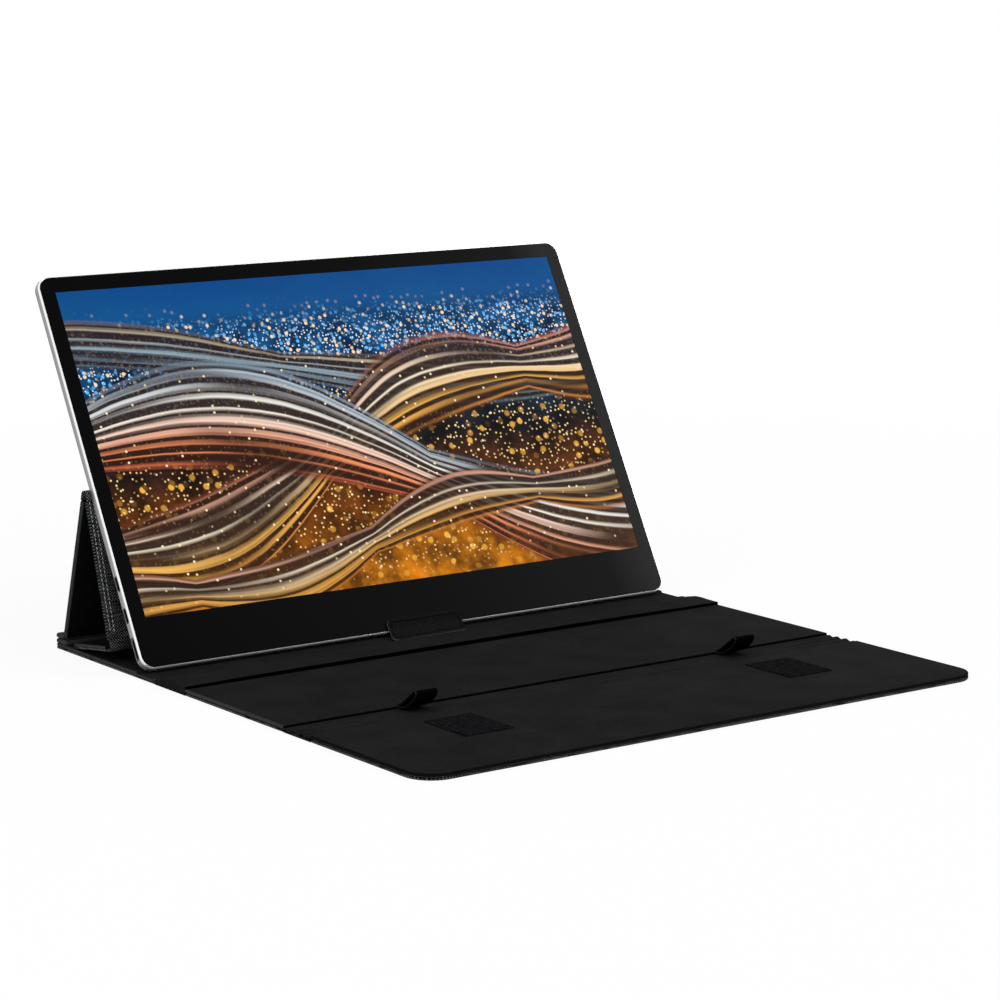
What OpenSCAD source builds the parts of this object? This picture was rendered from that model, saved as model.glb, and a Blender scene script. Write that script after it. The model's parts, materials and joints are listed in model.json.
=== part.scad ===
// Portable monitor standing on its own folding cover.
// X runs across the screen, Y to the rear and Z up from the table.
// The origin is on the table, under the middle of the whole object.

/* [Picture and glass] */
// Width of the picture
picture_w = 344.2; // [300:0.1:400]
// Height of the picture
picture_h = 193.6; // [170:0.1:230]
// Black border beside the picture
border_side = 8.7; // [7.5:0.1:14]
// Black border above the picture
border_top = 8.9; // [7:0.1:14]
// Black border below the picture, where the driver board lies
border_bottom = 28.1; // [26:0.1:36]
// Corner radius of the glass
glass_r = 7; // [5:0.5:10]
// Thickness of the front glass
glass_t = 0.9; // [0.7:0.05:1.1]
// Gap between the glass and the metal rim
glass_gap = 0.3; // [0.15:0.05:0.5]

/* [Metal frame] */
// Thickness of the monitor, back to glass
monitor_t = 5.8; // [5.7:0.1:7]
// Width of the bright rim round the glass
rim_w = 0.6; // [0.5:0.1:1.2]
// Width of the polished bevel on the rim
bevel_w = 0.5; // [0.3:0.1:0.6]
// Depth of the polished bevel on the rim
bevel_h = 1.3; // [0.5:0.1:2]
// Bevel on the frame's rear edge
rear_bevel = 0.6; // [0.3:0.1:0.8]
// Wall thickness of the frame
frame_wall = 1.6; // [1.4:0.1:2]
// Width of the ledge that carries the glass
ledge_w = 2.2; // [1.5:0.1:2.6]
// Thickness of that ledge
ledge_t = 0.6; // [0.4:0.1:0.8]
// Thickness of the tape between ledge and glass
tape_t = 0.15; // [0.1:0.05:0.3]
// Thickness of the rear cover
rear_cover_t = 0.8; // [0.6:0.1:1]

/* [Display stack] */
// How far the display reaches past the picture at the sides and the top
display_margin = 2.6; // [1.5:0.1:3]
// How far the display reaches past the picture at the bottom
display_foot = 8; // [6:0.5:10]
// Thickness of the liquid crystal cell
cell_t = 0.7; // [0.5:0.05:0.8]
// Thickness of the diffusing films
films_t = 0.3; // [0.2:0.05:0.35]
// Thickness of the light guide
guide_t = 0.5; // [0.4:0.05:0.55]
// Thickness of the reflector sheet
reflector_t = 0.15; // [0.1:0.05:0.2]
// Thickness of the steel tray
tray_t = 0.25; // [0.2:0.05:0.3]

/* [Ports and buttons] */
// Height of the port centres above the back of the monitor
port_z = 2.4; // [2.3:0.05:2.6]
// Height of the port shells
port_h = 3.0; // [2.6:0.1:3.2]
// Depth of the port shells
port_d = 6.0; // [5:0.1:6.2]
// Width of a USB-C shell
usb_w = 9.0; // [8.6:0.1:9.4]
// Place of the upper USB-C port up the side
usb_upper_v = 49.9; // [46:0.1:60]
// Place of the lower USB-C port up the side
usb_lower_v = 31.4; // [29:0.1:34]
// Width of the mini-HDMI shell
hdmi_w = 13.6; // [11:0.1:14]
// Place of the mini-HDMI port up the side
hdmi_v = 12; // [12:0.1:15]
// Bore of the headphone socket
jack_d = 3.56; // [3.5:0.01:3.7]
// Place of the headphone socket up the side
jack_v = 11; // [10:0.5:14]
// Length of the power button
power_l = 8; // [6:0.5:12]
// Place of the power button up the side
power_v = 62; // [58:0.5:80]
// Length of the menu rocker
rocker_l = 15; // [12:0.5:18]
// Place of the menu rocker up the side
rocker_v = 42; // [36:0.5:44]
// Height of the button caps
cap_h = 1.9; // [1.5:0.1:2.2]
// How far the caps stand out of the frame
cap_proud = 0.45; // [0.3:0.05:0.7]
// Clearance round the caps
cap_gap = 0.15; // [0.1:0.05:0.25]
// Travel of the power button
power_travel = 0.35; // [0.2:0.05:0.4]
// Travel at each end of the menu rocker
rocker_travel = 0.3; // [0.1:0.05:0.35]

/* [Cover] */
// Width of the cover
cover_w = 368; // [366:0.5:380]
// Thickness of the base and of the stand's panels
panel_t = 3.0; // [2.6:0.1:3.6]
// Thickness of the middle and front panels
front_panel_t = 3.4; // [3:0.1:4]
// Thickness of the woven outer fabric
skin_t = 0.6; // [0.4:0.1:0.8]
// Thickness of the soft lining
lining_t = 0.6; // [0.4:0.1:0.8]
// Corner radius of panels that meet a fold
panel_r = 1.5; // [1:0.5:3]
// Corner radius at the cover's front edge
front_r = 16; // [8:1:24]
// Base panel in front of the glass
base_front = 15.4; // [14:0.1:24]
// Base panel behind the glass
base_rear = 95; // [88:0.1:104]
// Depth of the shallow groove in the base that the monitor stands in
seat_dip = 1.1; // [0.3:0.1:1.1]
// Full-height hem left between that groove and the base's front edge
dip_front = 2.6; // [1.8:0.1:3.4]
// Room behind the monitor's foot in the groove
dip_back = 1.4; // [1.2:0.1:3]
// Length of the arched strip that wraps the monitor's lower edge
spine_l = 31.6; // [26:0.1:40]
// Height of the strip's arch
spine_rise = 2.1; // [1:0.1:4]
// Length of the middle panel
middle_l = 96.3; // [80:0.1:110]
// Length of the rippled soft hinge
ripple_l = 25.4; // [20:0.1:30]
// Height of the ripples
ripple_h = 0.6; // [0.2:0.1:0.7]
// Length of the front panel
front_l = 98.2; // [90:0.1:110]

/* [Stand] */
// How far the monitor leans back from upright
lean = 29; // [26:0.5:32]
// Height of the fold at the top of the stand
apex_z = 92.2; // [86:0.1:98]
// Depth of the hem strip on the base's rear edge
hem_d = 12; // [10:0.5:14]
// How far the rear panel's fold stands in from the rear edge
leg_inset = 9; // [7:0.1:10]
// How far the rear panel reaches below that fold
leg_tail = 2; // [0.5:0.1:2.2]
// Distance from the glass to the front panel's foot
foot_y = 35; // [31:0.2:36]
// Height of the fold at that foot
foot_z = 11.6; // [8:0.1:12]
// Length of the flap inside the stand
flap_l = 40; // [36:0.5:40]
// Unstiffened cloth on each side of a fold
fold_l = 3.5; // [3:0.1:5]

/* [Tab, loops and patches] */
// How far the tab sits right of the middle
tab_x = 3; // [-20:0.5:20]
// Width of the leather tab
tab_w = 51; // [30:1:70]
// Thickness of the leather tab
tab_t = 1.2; // [1:0.1:2]
// How far the tab reaches up the glass
tab_up = 7.2; // [4:0.5:9]
// How far in front of the glass the tab is sewn down
tab_out = 9; // [6:0.1:10]
// Width of the pull loops
loop_w = 15; // [10:0.5:20]
// Length of the pull loops
loop_l = 18.5; // [12:0.5:20]
// Thickness of the pull loops at the tip
loop_t = 3.8; // [3:0.1:6]
// Thickness of the loops' ribbon
ribbon_t = 0.9; // [0.6:0.1:1.2]
// Slope of the pull loops
loop_slope = 33; // [30:1:45]
// Distance of loops and patches from the middle
patch_x = 107.4; // [60:0.5:140]
// Width of the hook patches
patch_w = 30.6; // [20:0.5:40]
// Length of the hook patches
patch_l = 37.6; // [25:0.5:45]
// Thickness of the hook patches
patch_t = 1.0; // [0.6:0.1:1.2]
// Distance from the front panel's fold to the patches
patch_in = 9.6; // [6:0.1:20]

/* [Hidden] */

$fn = 48;
eps = 0.01;

// Monitor
glass_w = picture_w + 2 * border_side;
glass_h = border_bottom + picture_h + border_top;
rim_out = rim_w + glass_gap;
frame_w = glass_w + 2 * rim_out;
frame_h = glass_h + 2 * rim_out;
frame_r = glass_r + rim_out;
frame_top_v = frame_h - rim_out;
ledge_z = monitor_t - glass_t - tape_t;
display_w = picture_w + 2 * display_margin;
display_h = picture_h + display_margin + display_foot;
display_v = border_bottom - display_foot;
cell_z = monitor_t - glass_t - cell_t;
films_z = cell_z - films_t;
guide_z = films_z - guide_t;
reflector_z = guide_z - reflector_t;
tray_z = reflector_z - tray_t;
side_x = frame_w / 2;
wall_gap = 0.05;
port_x = -side_x + 0.35;

jack_x = side_x - frame_wall - wall_gap;
jack_z = (rear_cover_t + ledge_z) / 2;
jack_w = 6;
jack_l = 12;

// Printed boards
board_t = 0.6;
board_z = 1.2;
board_edge = -side_x + frame_wall + 0.4;
board_w = 96;
board_v0 = hdmi_v - hdmi_w / 2 + 0.2;
board_v1 = usb_upper_v + usb_w / 2 + 4;
driver_w = 210;
driver_h = 9;
driver_x = board_edge + board_w + 4;
driver_v = display_v + 2;
driver_z = tray_z - 0.1 - board_t;
cable_w = 6;
chip_top = tray_z - 0.15;

// Speakers and buttons
speaker_w = 44;
speaker_h = 13;
speaker_v = 4;
speaker_x = 61;
speaker_z = rear_cover_t + 0.1;
flange = 1.0;
flange_t = 0.6;
switch_w = 3.2;
button_board_w = 3.6;
rocker_gap = rocker_travel * (rocker_l / 2 + flange) / (rocker_l / 2) + 0.1;
power_switch_x = side_x - frame_wall - wall_gap - flange_t - power_travel - 0.05;
rocker_switch_x = side_x - frame_wall - 2 * rocker_gap - flange_t;
board_x = rocker_switch_x - 0.4 - button_board_w;
cap_z = 2.5;

// Rear cover details
cover_gap = 0.1;
cover_edge = 1.0;
screw_in = 3.5;
screw_head_r = 1.5;
screw_shank_r = 0.7;
boss_r = 1.5;
boss_top = board_z + 1.4;
slot_pitch = 3.2;
slot_l = 7;
slot_h = 1.2;
slots = 12;

// Cover, along Y from the glass's lower edge
spine_y = -base_front;
middle_y = spine_y - spine_l;
ripple_y = middle_y - middle_l;
front_y = ripple_y - ripple_l;
tip_y = front_y - front_l;
magnet_r = 4;
magnet_t = 1.2;
magnet_gap = 0.05;
magnet_xs = [-140, -50, 50, 140];

// Monitor's seat: the virtual corner between its bottom and its back
seat_y = monitor_t * cos(lean);
seat_floor = panel_t - seat_dip;
seat_z = seat_floor + 0.05;
glass_foot_z = seat_z + monitor_t * sin(lean) + rim_out * cos(lean);
rear_y = seat_y + (frame_h - rear_bevel) * sin(lean);
origin_y = -(rear_y + tip_y) / 2;

// Stand. Points are [y, z]; each fold turns about the line where the inner faces meet.
stand_gap = 0.3;
hem_t = panel_t;
leg_pivot = [base_rear - leg_inset, panel_t + 2 * hem_t + 0.3];
apex = [seat_y + (apex_z - seat_z) * tan(lean) + (panel_t + stand_gap) / cos(lean), apex_z];
foot = [foot_y, foot_z];
leg_span = norm(apex - leg_pivot);
leg_lean = atan2(leg_pivot[0] - apex[0], apex[1] - leg_pivot[1]) - asin(panel_t / leg_span);
rear_leg_l = sqrt(leg_span * leg_span - panel_t * panel_t);
front_leg_l = norm(apex - foot);
front_leg_lean = atan2(apex[0] - foot[0], apex[1] - foot[1]);
flap_rest_z = panel_t + stand_gap + panel_t;
flap_drop = asin((foot_z - flap_rest_z) / flap_l);

function polar(a, r) = [r * cos(a), r * sin(a)];
function arc(c, r, a0, a1, n) = [for (i = [0:n]) c + polar(a0 + (a1 - a0) * i / n, r)];

// A plate w wide that runs from y = 0 to l, with its own corner radius at each end
module plate_2d(w, l, r0, r1) {
    translate([-w / 2, r0]) square([w, l - r0 - r1]);
    for (e = [[0, r0, r0], [l - r1, r1, l - r1]]) {
        translate([-w / 2 + e[1], e[0]]) square([w - 2 * e[1], e[1]]);
        for (s = [-1, 1]) translate([s * (w / 2 - e[1]), e[2]]) circle(e[1]);
    }
}

// A plate with all four corners alike, centred on the screen's middle line
module screen_plate(w, h, r, v, z, t) {
    translate([0, v, z]) linear_extrude(t) plate_2d(w, h, r, r);
}

// Sweeps a profile round a rounded rectangle; the profile's x = 0 is the outer face
module ring_sweep(w, h, r) {
    for (turn = [0, 180]) rotate(turn) {
        translate([w / 2 - r, h / 2 - r]) rotate_extrude(angle = 90) translate([r, 0]) children();
        translate([-(w / 2 - r), h / 2 - r]) rotate(90) rotate_extrude(angle = 90) translate([r, 0]) children();
        translate([w / 2 - r, h / 2 - r]) rotate([90, 0, 0]) linear_extrude(h - 2 * r) translate([r, 0]) children();
        translate([-(w / 2 - r), h / 2 - r]) rotate([90, 0, 90]) linear_extrude(w - 2 * r) translate([r, 0]) children();
    }
}

// Extrudes a profile drawn in [y, z] along X
module along_x(w, x = 0) {
    translate([x - w / 2, 0, 0]) rotate([90, 0, 90]) linear_extrude(w) children();
}

module in_object() { translate([0, origin_y, 0]) children(); }

// The monitor's own frame: y up the screen from the rim's bottom, z from the back to the glass
module in_monitor() {
    in_object() translate([0, seat_y, seat_z]) rotate([90 - lean, 0, 0]) children();
}

module in_glass() { in_monitor() translate([0, rim_out, 0]) children(); }

// ---- Monitor ----

module frame_profile() {
    polygon([
        [-cover_edge, 0], [-rear_bevel, 0], [0, rear_bevel], [0, monitor_t - bevel_h],
        [-bevel_w, monitor_t], [-rim_w, monitor_t], [-rim_w, ledge_z], [-rim_out - ledge_w, ledge_z],
        [-rim_out - ledge_w, ledge_z - ledge_t], [-frame_wall, ledge_z - ledge_t],
        [-frame_wall, rear_cover_t], [-cover_edge, rear_cover_t],
    ]);
}

// A slot with round ends through the side wall at x, w up the side and h deep
module side_slot(x, v, z, w, h) {
    translate([x, v, z]) rotate([90, 0, 90]) translate([0, 0, -frame_wall]) linear_extrude(2 * frame_wall + 1) {
        square([w - h, h], center = true);
        for (s = [-1, 1]) translate([s * (w - h) / 2, 0]) circle(h / 2);
    }
}

module side_box(x, v, z, d, w, h) {
    translate([x, v - w / 2, z - h / 2]) cube([d, w, h]);
}

module monitor_frame() {
    color([0.72, 0.72, 0.74]) in_monitor() difference() {
        union() {
            translate([0, frame_h / 2, 0]) ring_sweep(frame_w, frame_h, frame_r) frame_profile();
            screw_bosses();
        }
        for (p = screw_places()) translate([p[0], p[1], 0]) cylinder(r = screw_shank_r + 0.05, h = boss_top + 1);
        for (v = [usb_upper_v, usb_lower_v]) side_slot(-side_x, v + rim_out, port_z, usb_w, port_h);
        side_box(-side_x - eps, hdmi_v + rim_out, port_z, frame_wall + 0.6, hdmi_w, port_h);
        translate([side_x - frame_wall - 1, jack_v + rim_out, jack_z]) rotate([0, 90, 0])
            cylinder(d = jack_d + 0.1, h = frame_wall + 2);
        side_box(side_x - rim_out - ledge_w - 1, jack_v + rim_out, ledge_z, rim_out + ledge_w + 1 - frame_wall,
            jack_w + 0.4, 2 * ledge_t + eps);
        side_box(side_x - frame_wall - eps, power_v + rim_out, cap_z, frame_wall + 2 * eps,
            power_l + 2 * cap_gap, cap_h + 2 * cap_gap);
        side_box(side_x - frame_wall - eps, rocker_v + rim_out, cap_z, frame_wall + 2 * eps,
            rocker_l + 2 * cap_gap, cap_h + 2 * cap_gap);
    }
}

function screw_places() = [
    for (x = [-1, 0, 1], v = [0, 1])
        [x * (frame_w / 2 - cover_edge - screw_in), cover_edge + screw_in + v * (frame_h - 2 * (cover_edge + screw_in))],
];

// Posts for the rear cover's screws, each joined to the nearest wall by a web
module screw_bosses() {
    h = boss_top - rear_cover_t;
    web = screw_in + cover_edge - frame_wall + 0.3;
    for (p = screw_places()) translate([p[0], p[1], rear_cover_t]) {
        cylinder(r = boss_r, h = h);
        translate([-boss_r, p[1] < frame_h / 2 ? -web : 0, 0]) cube([2 * boss_r, web, h]);
    }
}

// Two banks of sound slots, one behind each speaker
module sound_slots() {
    for (side = [-1, 1], i = [0 : slots - 1])
        translate([side * speaker_x + (i - (slots - 1) / 2) * slot_pitch, rim_out + speaker_v + speaker_h / 2, 0]) {
            cube([slot_h, slot_l - slot_h, 4 * rear_cover_t], center = true);
            for (s = [-1, 1]) translate([0, s * (slot_l - slot_h) / 2, 0])
                cylinder(d = slot_h, h = 4 * rear_cover_t, center = true);
        }
}

module rear_cover() {
    inset = cover_edge + cover_gap;
    color([0.2, 0.2, 0.21]) in_monitor() difference() {
        screen_plate(frame_w - 2 * inset, frame_h - 2 * inset, frame_r - inset, inset, 0, rear_cover_t - wall_gap);
        sound_slots();
        for (p = screw_places()) translate([p[0], p[1], -eps]) {
            cylinder(r = screw_shank_r + 0.1, h = 2 * rear_cover_t);
            cylinder(r = screw_head_r + 0.1, h = rear_cover_t / 2 + eps);
        }
    }
}

module cover_screws() {
    color([0.15, 0.15, 0.16]) in_monitor() for (p = screw_places()) translate([p[0], p[1], 0]) difference() {
        union() {
            cylinder(r = screw_head_r, h = rear_cover_t / 2 - eps);
            cylinder(r = screw_shank_r, h = boss_top);
        }
        for (a = [0, 90]) rotate(a) cube([0.35, 1.6, 0.5], center = true);
    }
}

module front_glass() {
    color([0.03, 0.03, 0.04]) in_glass()
        screen_plate(glass_w, glass_h, glass_r, 0, monitor_t - glass_t, glass_t);
}

module glass_tape() {
    color([0.05, 0.05, 0.05]) in_glass() difference() {
        screen_plate(glass_w, glass_h, glass_r, 0, ledge_z, tape_t);
        screen_plate(glass_w - 2 * ledge_w, glass_h - 2 * ledge_w, glass_r - ledge_w, ledge_w, ledge_z - 1, 2);
    }
}

module display_layer(inset, z, t) {
    in_glass() screen_plate(display_w - 2 * inset, display_h - 2 * inset, 1, display_v + inset, z, t);
}

module lcd_cell() { color([0.1, 0.11, 0.14]) display_layer(0, cell_z, cell_t); }

module optical_films() { color([0.95, 0.95, 0.93]) display_layer(0.6, films_z, films_t); }

module light_guide() {
    color([0.8, 0.9, 0.95]) in_glass()
        screen_plate(display_w - 1.2, display_h - 4.6, 1, display_v + 4, guide_z, guide_t);
}

module reflector_sheet() { color("white") display_layer(0.6, reflector_z, reflector_t); }

// A strip of light emitting diodes under the light guide's lower edge
module led_bar() {
    pitch = 8;
    count = floor((display_w - 14) / pitch);
    color([0.9, 0.85, 0.5]) in_glass() {
        translate([-display_w / 2 + 1, display_v + 0.8, guide_z]) cube([display_w - 2, 1.8, guide_t / 2]);
        for (i = [0 : count]) translate([(i - count / 2) * pitch - 1.5, display_v + 1, guide_z + guide_t / 2])
            cube([3, 1.4, guide_t / 2 - eps]);
    }
}

module backlight_tray() {
    color([0.6, 0.62, 0.64]) in_glass() difference() {
        screen_plate(display_w, display_h, 1, display_v, tray_z, cell_z - tray_z);
        screen_plate(display_w - 1.1, display_h - 1.1, 0.8, display_v + 0.55, reflector_z, 5);
    }
}

// The display's long driver board, folded in behind the tray
module driver_board() {
    color([0.1, 0.35, 0.2]) in_glass() difference() {
        translate([driver_x, driver_v, driver_z]) cube([driver_w, driver_h, board_t]);
        for (i = [1:3]) translate([driver_x + driver_w * i / 3.5, driver_v + driver_h / 2, 0]) cylinder(d = 2, h = 10);
    }
}

// Flat cable from the main board's end to the driver board
module display_cable() {
    x = board_edge + board_w;
    z = board_z + board_t;
    color([0.85, 0.6, 0.2]) in_glass()
        translate([x - 8, driver_v + 1, z]) cube([driver_x - x + 16, cable_w, driver_z - z]);
}

module main_board() {
    color([0.08, 0.3, 0.16]) in_glass() difference() {
        translate([board_edge, board_v0, board_z]) cube([board_w, board_v1 - board_v0, board_t]);
        for (v = [usb_upper_v, usb_lower_v]) side_box(port_x - 1, v, port_z, port_d + 1, usb_w, 9);
        side_box(port_x - 1, hdmi_v, port_z, port_d + 1, hdmi_w, 9);
        for (x = [12, board_w - 6]) translate([board_edge + x, board_v1 - 5, 0]) cylinder(d = 2.4, h = 10);
    }
}

// Scaler, power and memory chips, coils and capacitors, set on the board
module board_chips() {
    t = chip_top - board_z - board_t;
    c = board_w / 96;
    color([0.12, 0.12, 0.13]) in_glass() translate([board_edge, 0, board_z + board_t]) {
        translate([38, 30, 0] * c) cube([14 * c, 14 * c, t]);
        translate([60, 34, 0] * c) cube([8 * c, 6 * c, t * 0.8]);
        translate([14, 38, 0] * c) cube([5 * c, 5 * c, t * 0.7]);
        translate([26, 22, 0] * c) cube([6 * c, 6 * c, t]);
        translate([26, 44, 0] * c) cube([7 * c, 4 * c, t * 0.8]);
        for (i = [0:5]) translate([72 + 2.4 * i, 22, 0] * c) cube([1.2 * c, 2 * c, t * 0.5]);
        for (i = [0:3]) translate([58 + 3 * i, 47, 0] * c) cylinder(d = 2 * c, h = t * 0.7);
    }
}

module usb_c_port(v) {
    color([0.6, 0.6, 0.62]) in_glass() translate([port_x, v, port_z]) rotate([90, 0, 90]) {
        w = usb_w - 2 * wall_gap;
        h = port_h - 2 * wall_gap;
        difference() {
            linear_extrude(port_d) {
                square([w - h, h], center = true);
                for (s = [-1, 1]) translate([s * (w - h) / 2, 0]) circle(h / 2);
            }
            translate([0, 0, -1]) linear_extrude(port_d) {
                square([w - h, h - 0.6], center = true);
                for (s = [-1, 1]) translate([s * (w - h) / 2, 0]) circle(h / 2 - 0.3);
            }
        }
        translate([0, 0, (port_d + 1) / 2]) cube([6.4, 0.7, port_d - 1], center = true);
    }
}

module usb_c_port_upper() { usb_c_port(usb_upper_v); }

module usb_c_port_lower() { usb_c_port(usb_lower_v); }

// A D-shaped shell with two cut corners, and its contact tongue
module mini_hdmi_port() {
    w = hdmi_w - 2 * wall_gap;
    h = port_h - 2 * wall_gap;
    color([0.6, 0.6, 0.62]) in_glass() translate([port_x, hdmi_v, port_z]) rotate([90, 0, 90]) {
        difference() {
            linear_extrude(port_d) square([w, h], center = true);
            translate([0, 0, -1]) linear_extrude(port_d) polygon([
                [-5.5, 1.1], [5.5, 1.1], [5.5, -0.3], [4.6, -1.1], [-4.6, -1.1], [-5.5, -0.3],
            ]);
        }
        translate([0, 0.1, (port_d + 1) / 2]) cube([8.4, 0.7, port_d - 1], center = true);
    }
}

// A block behind the right wall with a plain bore for the plug
module headphone_jack() {
    z0 = rear_cover_t;
    z1 = ledge_z - wall_gap;
    color([0.1, 0.1, 0.1]) in_glass() difference() {
        translate([jack_x - jack_l, jack_v - jack_w / 2, z0]) cube([jack_l, jack_w, z1 - z0]);
        translate([jack_x - jack_l + 1, jack_v, jack_z]) rotate([0, 90, 0]) cylinder(d = jack_d, h = jack_l);
    }
}

module speaker(x) {
    z1 = tray_z - 0.2;
    color([0.1, 0.1, 0.1]) in_glass() difference() {
        translate([x, speaker_v, speaker_z]) linear_extrude(z1 - speaker_z)
            plate_2d(speaker_w, speaker_h, 2, 2);
        translate([x, speaker_v + 2, speaker_z - eps]) linear_extrude(0.5)
            plate_2d(speaker_w - 12, speaker_h - 4, 3, 3);
    }
}

module speaker_left() { speaker(-speaker_x); }

module speaker_right() { speaker(speaker_x); }

// A side-push switch whose pin ends at x
module side_switch(x, v) {
    translate([board_x + 1, v - switch_w / 2, board_z - 0.3 + board_t - eps]) cube([x - board_x - 1.6, switch_w, 1.9]);
    translate([x - 0.7, v - 0.6, cap_z - 0.45]) cube([0.7, 1.2, 0.9]);
}

module button_board() {
    v0 = rocker_v - rocker_l / 2 - 4;
    v1 = power_v + power_l / 2 + 4;
    color([0.08, 0.3, 0.16]) in_glass() {
        translate([board_x, v0, board_z - 0.3]) cube([button_board_w, v1 - v0, board_t]);
        side_switch(power_switch_x, power_v);
        for (s = [-1, 1]) side_switch(rocker_switch_x, rocker_v + s * rocker_l / 3);
    }
}

// A cap that stands out of the wall, held in by a wider flange at a gap behind it
module side_cap(v, l, gap) {
    depth = frame_wall + gap + flange_t + cap_proud;
    in_glass() translate([side_x + cap_proud - depth, v, cap_z]) rotate([90, 0, 90]) {
        linear_extrude(depth) {
            square([l - 0.8, cap_h], center = true);
            square([l, cap_h - 0.8], center = true);
            for (s = [-1, 1], q = [-1, 1]) translate([s * (l / 2 - 0.4), q * (cap_h / 2 - 0.4)]) circle(0.4);
        }
        linear_extrude(flange_t) square([l + 2 * flange, cap_h + 0.6], center = true);
    }
}

module power_button() { color([0.55, 0.55, 0.57]) side_cap(power_v, power_l, wall_gap); }

module menu_rocker() {
    color([0.55, 0.55, 0.57]) difference() {
        side_cap(rocker_v, rocker_l, rocker_gap);
        in_glass() translate([side_x + cap_proud, rocker_v, cap_z]) cube([0.4, 1.2, 2 * cap_h], center = true);
    }
}

// ---- Cover panels: z = 0 is the woven outside, z = t the lining ----

module panel_skin(l, t, r0, r1) {
    color([0.11, 0.11, 0.12]) difference() {
        linear_extrude(t - lining_t) plate_2d(cover_w, l, r0, r1);
        translate([0, skin_t, skin_t]) linear_extrude(t)
            plate_2d(cover_w - 2 * skin_t, l - 2 * skin_t, r0 - skin_t, r1 - skin_t);
    }
}

module panel_board(l, t, r0, r1) {
    color([0.35, 0.33, 0.3]) translate([0, skin_t, skin_t]) linear_extrude(t - skin_t - lining_t)
        plate_2d(cover_w - 2 * skin_t, l - 2 * skin_t, r0 - skin_t, r1 - skin_t);
}

module panel_lining(l, t, r0, r1) {
    color([0.13, 0.13, 0.13]) translate([0, 0, t - lining_t]) linear_extrude(lining_t)
        plate_2d(cover_w, l, r0, r1);
}

module magnets(y, z, gap) {
    for (x = magnet_xs) translate([x, y, z - gap]) cylinder(r = magnet_r + gap, h = magnet_t + 2 * gap);
}

// Cloth round a fold: an arc about the pivot with a straight tail along each panel
module fold_band(pivot, a0, a1) {
    r1 = panel_t;
    r0 = panel_t - skin_t - lining_t;
    t0 = polar(a0 - 90, fold_l - eps);
    t1 = polar(a1 + 90, fold_l - eps);
    color([0.1, 0.1, 0.11]) along_x(cover_w) polygon(concat(
        [pivot + polar(a0, r1) + t0], arc(pivot, r1, a0, a1, 10), [pivot + polar(a1, r1) + t1],
        [pivot + polar(a1, r0) + t1], arc(pivot, r0, a1, a0, 10), [pivot + polar(a0, r0) + t0]
    ));
}

module in_base() { in_object() translate([0, spine_y, 0]) children(); }

base_l = base_front + base_rear;
base_magnet_y = base_front + (foot_y + flap_l * 0.6);

// The room of the seat groove from z up, made larger along Y by grow
module seat_groove(z, grow) {
    y0 = dip_front - grow;
    y1 = base_front + seat_y + dip_back + grow;
    translate([-cover_w / 2 - eps, y0, z]) cube([cover_w + 2 * eps, y1 - y0, panel_t]);
}

module base_skin() {
    in_base() difference() {
        panel_skin(base_l, panel_t, panel_r, panel_r);
        seat_groove(seat_floor - lining_t, lining_t);
    }
}

module base_board() {
    in_base() difference() {
        panel_board(base_l, panel_t, panel_r, panel_r);
        magnets(base_magnet_y, skin_t + 0.3, magnet_gap);
        seat_groove(seat_floor - lining_t, lining_t);
    }
}

// The lining runs down into the seat groove and up again
module base_lining() {
    in_base() difference() {
        union() {
            panel_lining(base_l, panel_t, panel_r, panel_r);
            intersection() {
                linear_extrude(panel_t) plate_2d(cover_w, base_l, panel_r, panel_r);
                seat_groove(seat_floor - lining_t, lining_t);
            }
        }
        seat_groove(seat_floor, 0);
    }
}

module base_magnets() { color([0.7, 0.7, 0.72]) in_base() magnets(base_magnet_y, skin_t + 0.3, 0); }

// The base's cloth turned back over its rear edge
module hem_strip() {
    r = hem_t / 2;
    y1 = base_rear;
    color([0.1, 0.1, 0.11]) in_object() along_x(cover_w) translate([0, panel_t]) polygon(concat(
        [[y1 - hem_d, 0]], arc([y1 - r, r], r, -90, 90, 12), [[y1 - hem_d, hem_t]]
    ));
}

// The next fold of that cloth, which carries the rear panel; its front slants with the panel
module rear_fold() {
    r = hem_t / 2;
    y1 = base_rear;
    y0 = leg_pivot[0] + stand_gap / cos(leg_lean);
    z0 = panel_t + hem_t + 0.05;
    slant = function(z) y0 + (leg_pivot[1] - z) * tan(leg_lean);
    color([0.1, 0.1, 0.11]) in_object() along_x(cover_w) polygon(concat(
        [[slant(z0), z0]], arc([y1 - r, z0 + r], r, -90, 90, 12), [[slant(z0 + hem_t), z0 + hem_t]]
    ));
}

rear_leg_panel_l = rear_leg_l + leg_tail - fold_l;

module in_rear_leg() {
    in_object() translate([0, leg_pivot[0], leg_pivot[1]]) rotate([90 + leg_lean, 0, 0])
        translate([0, -leg_tail, 0]) children();
}

module rear_leg_skin() { in_rear_leg() panel_skin(rear_leg_panel_l, panel_t, panel_r, panel_r); }

module rear_leg_board() { in_rear_leg() panel_board(rear_leg_panel_l, panel_t, panel_r, panel_r); }

module rear_leg_lining() { in_rear_leg() panel_lining(rear_leg_panel_l, panel_t, panel_r, panel_r); }

module apex_fold() { in_object() fold_band(apex, leg_lean, 180 - front_leg_lean); }

front_leg_panel_l = front_leg_l - 2 * fold_l;

module in_front_leg() {
    face = apex + polar(180 - front_leg_lean, panel_t);
    in_object() translate([0, face[0], face[1]]) rotate([-90 - front_leg_lean, 0, 0])
        translate([0, fold_l, 0]) children();
}

module front_leg_skin() { in_front_leg() panel_skin(front_leg_panel_l, panel_t, panel_r, panel_r); }

module front_leg_board() { in_front_leg() panel_board(front_leg_panel_l, panel_t, panel_r, panel_r); }

module front_leg_lining() { in_front_leg() panel_lining(front_leg_panel_l, panel_t, panel_r, panel_r); }

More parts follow.
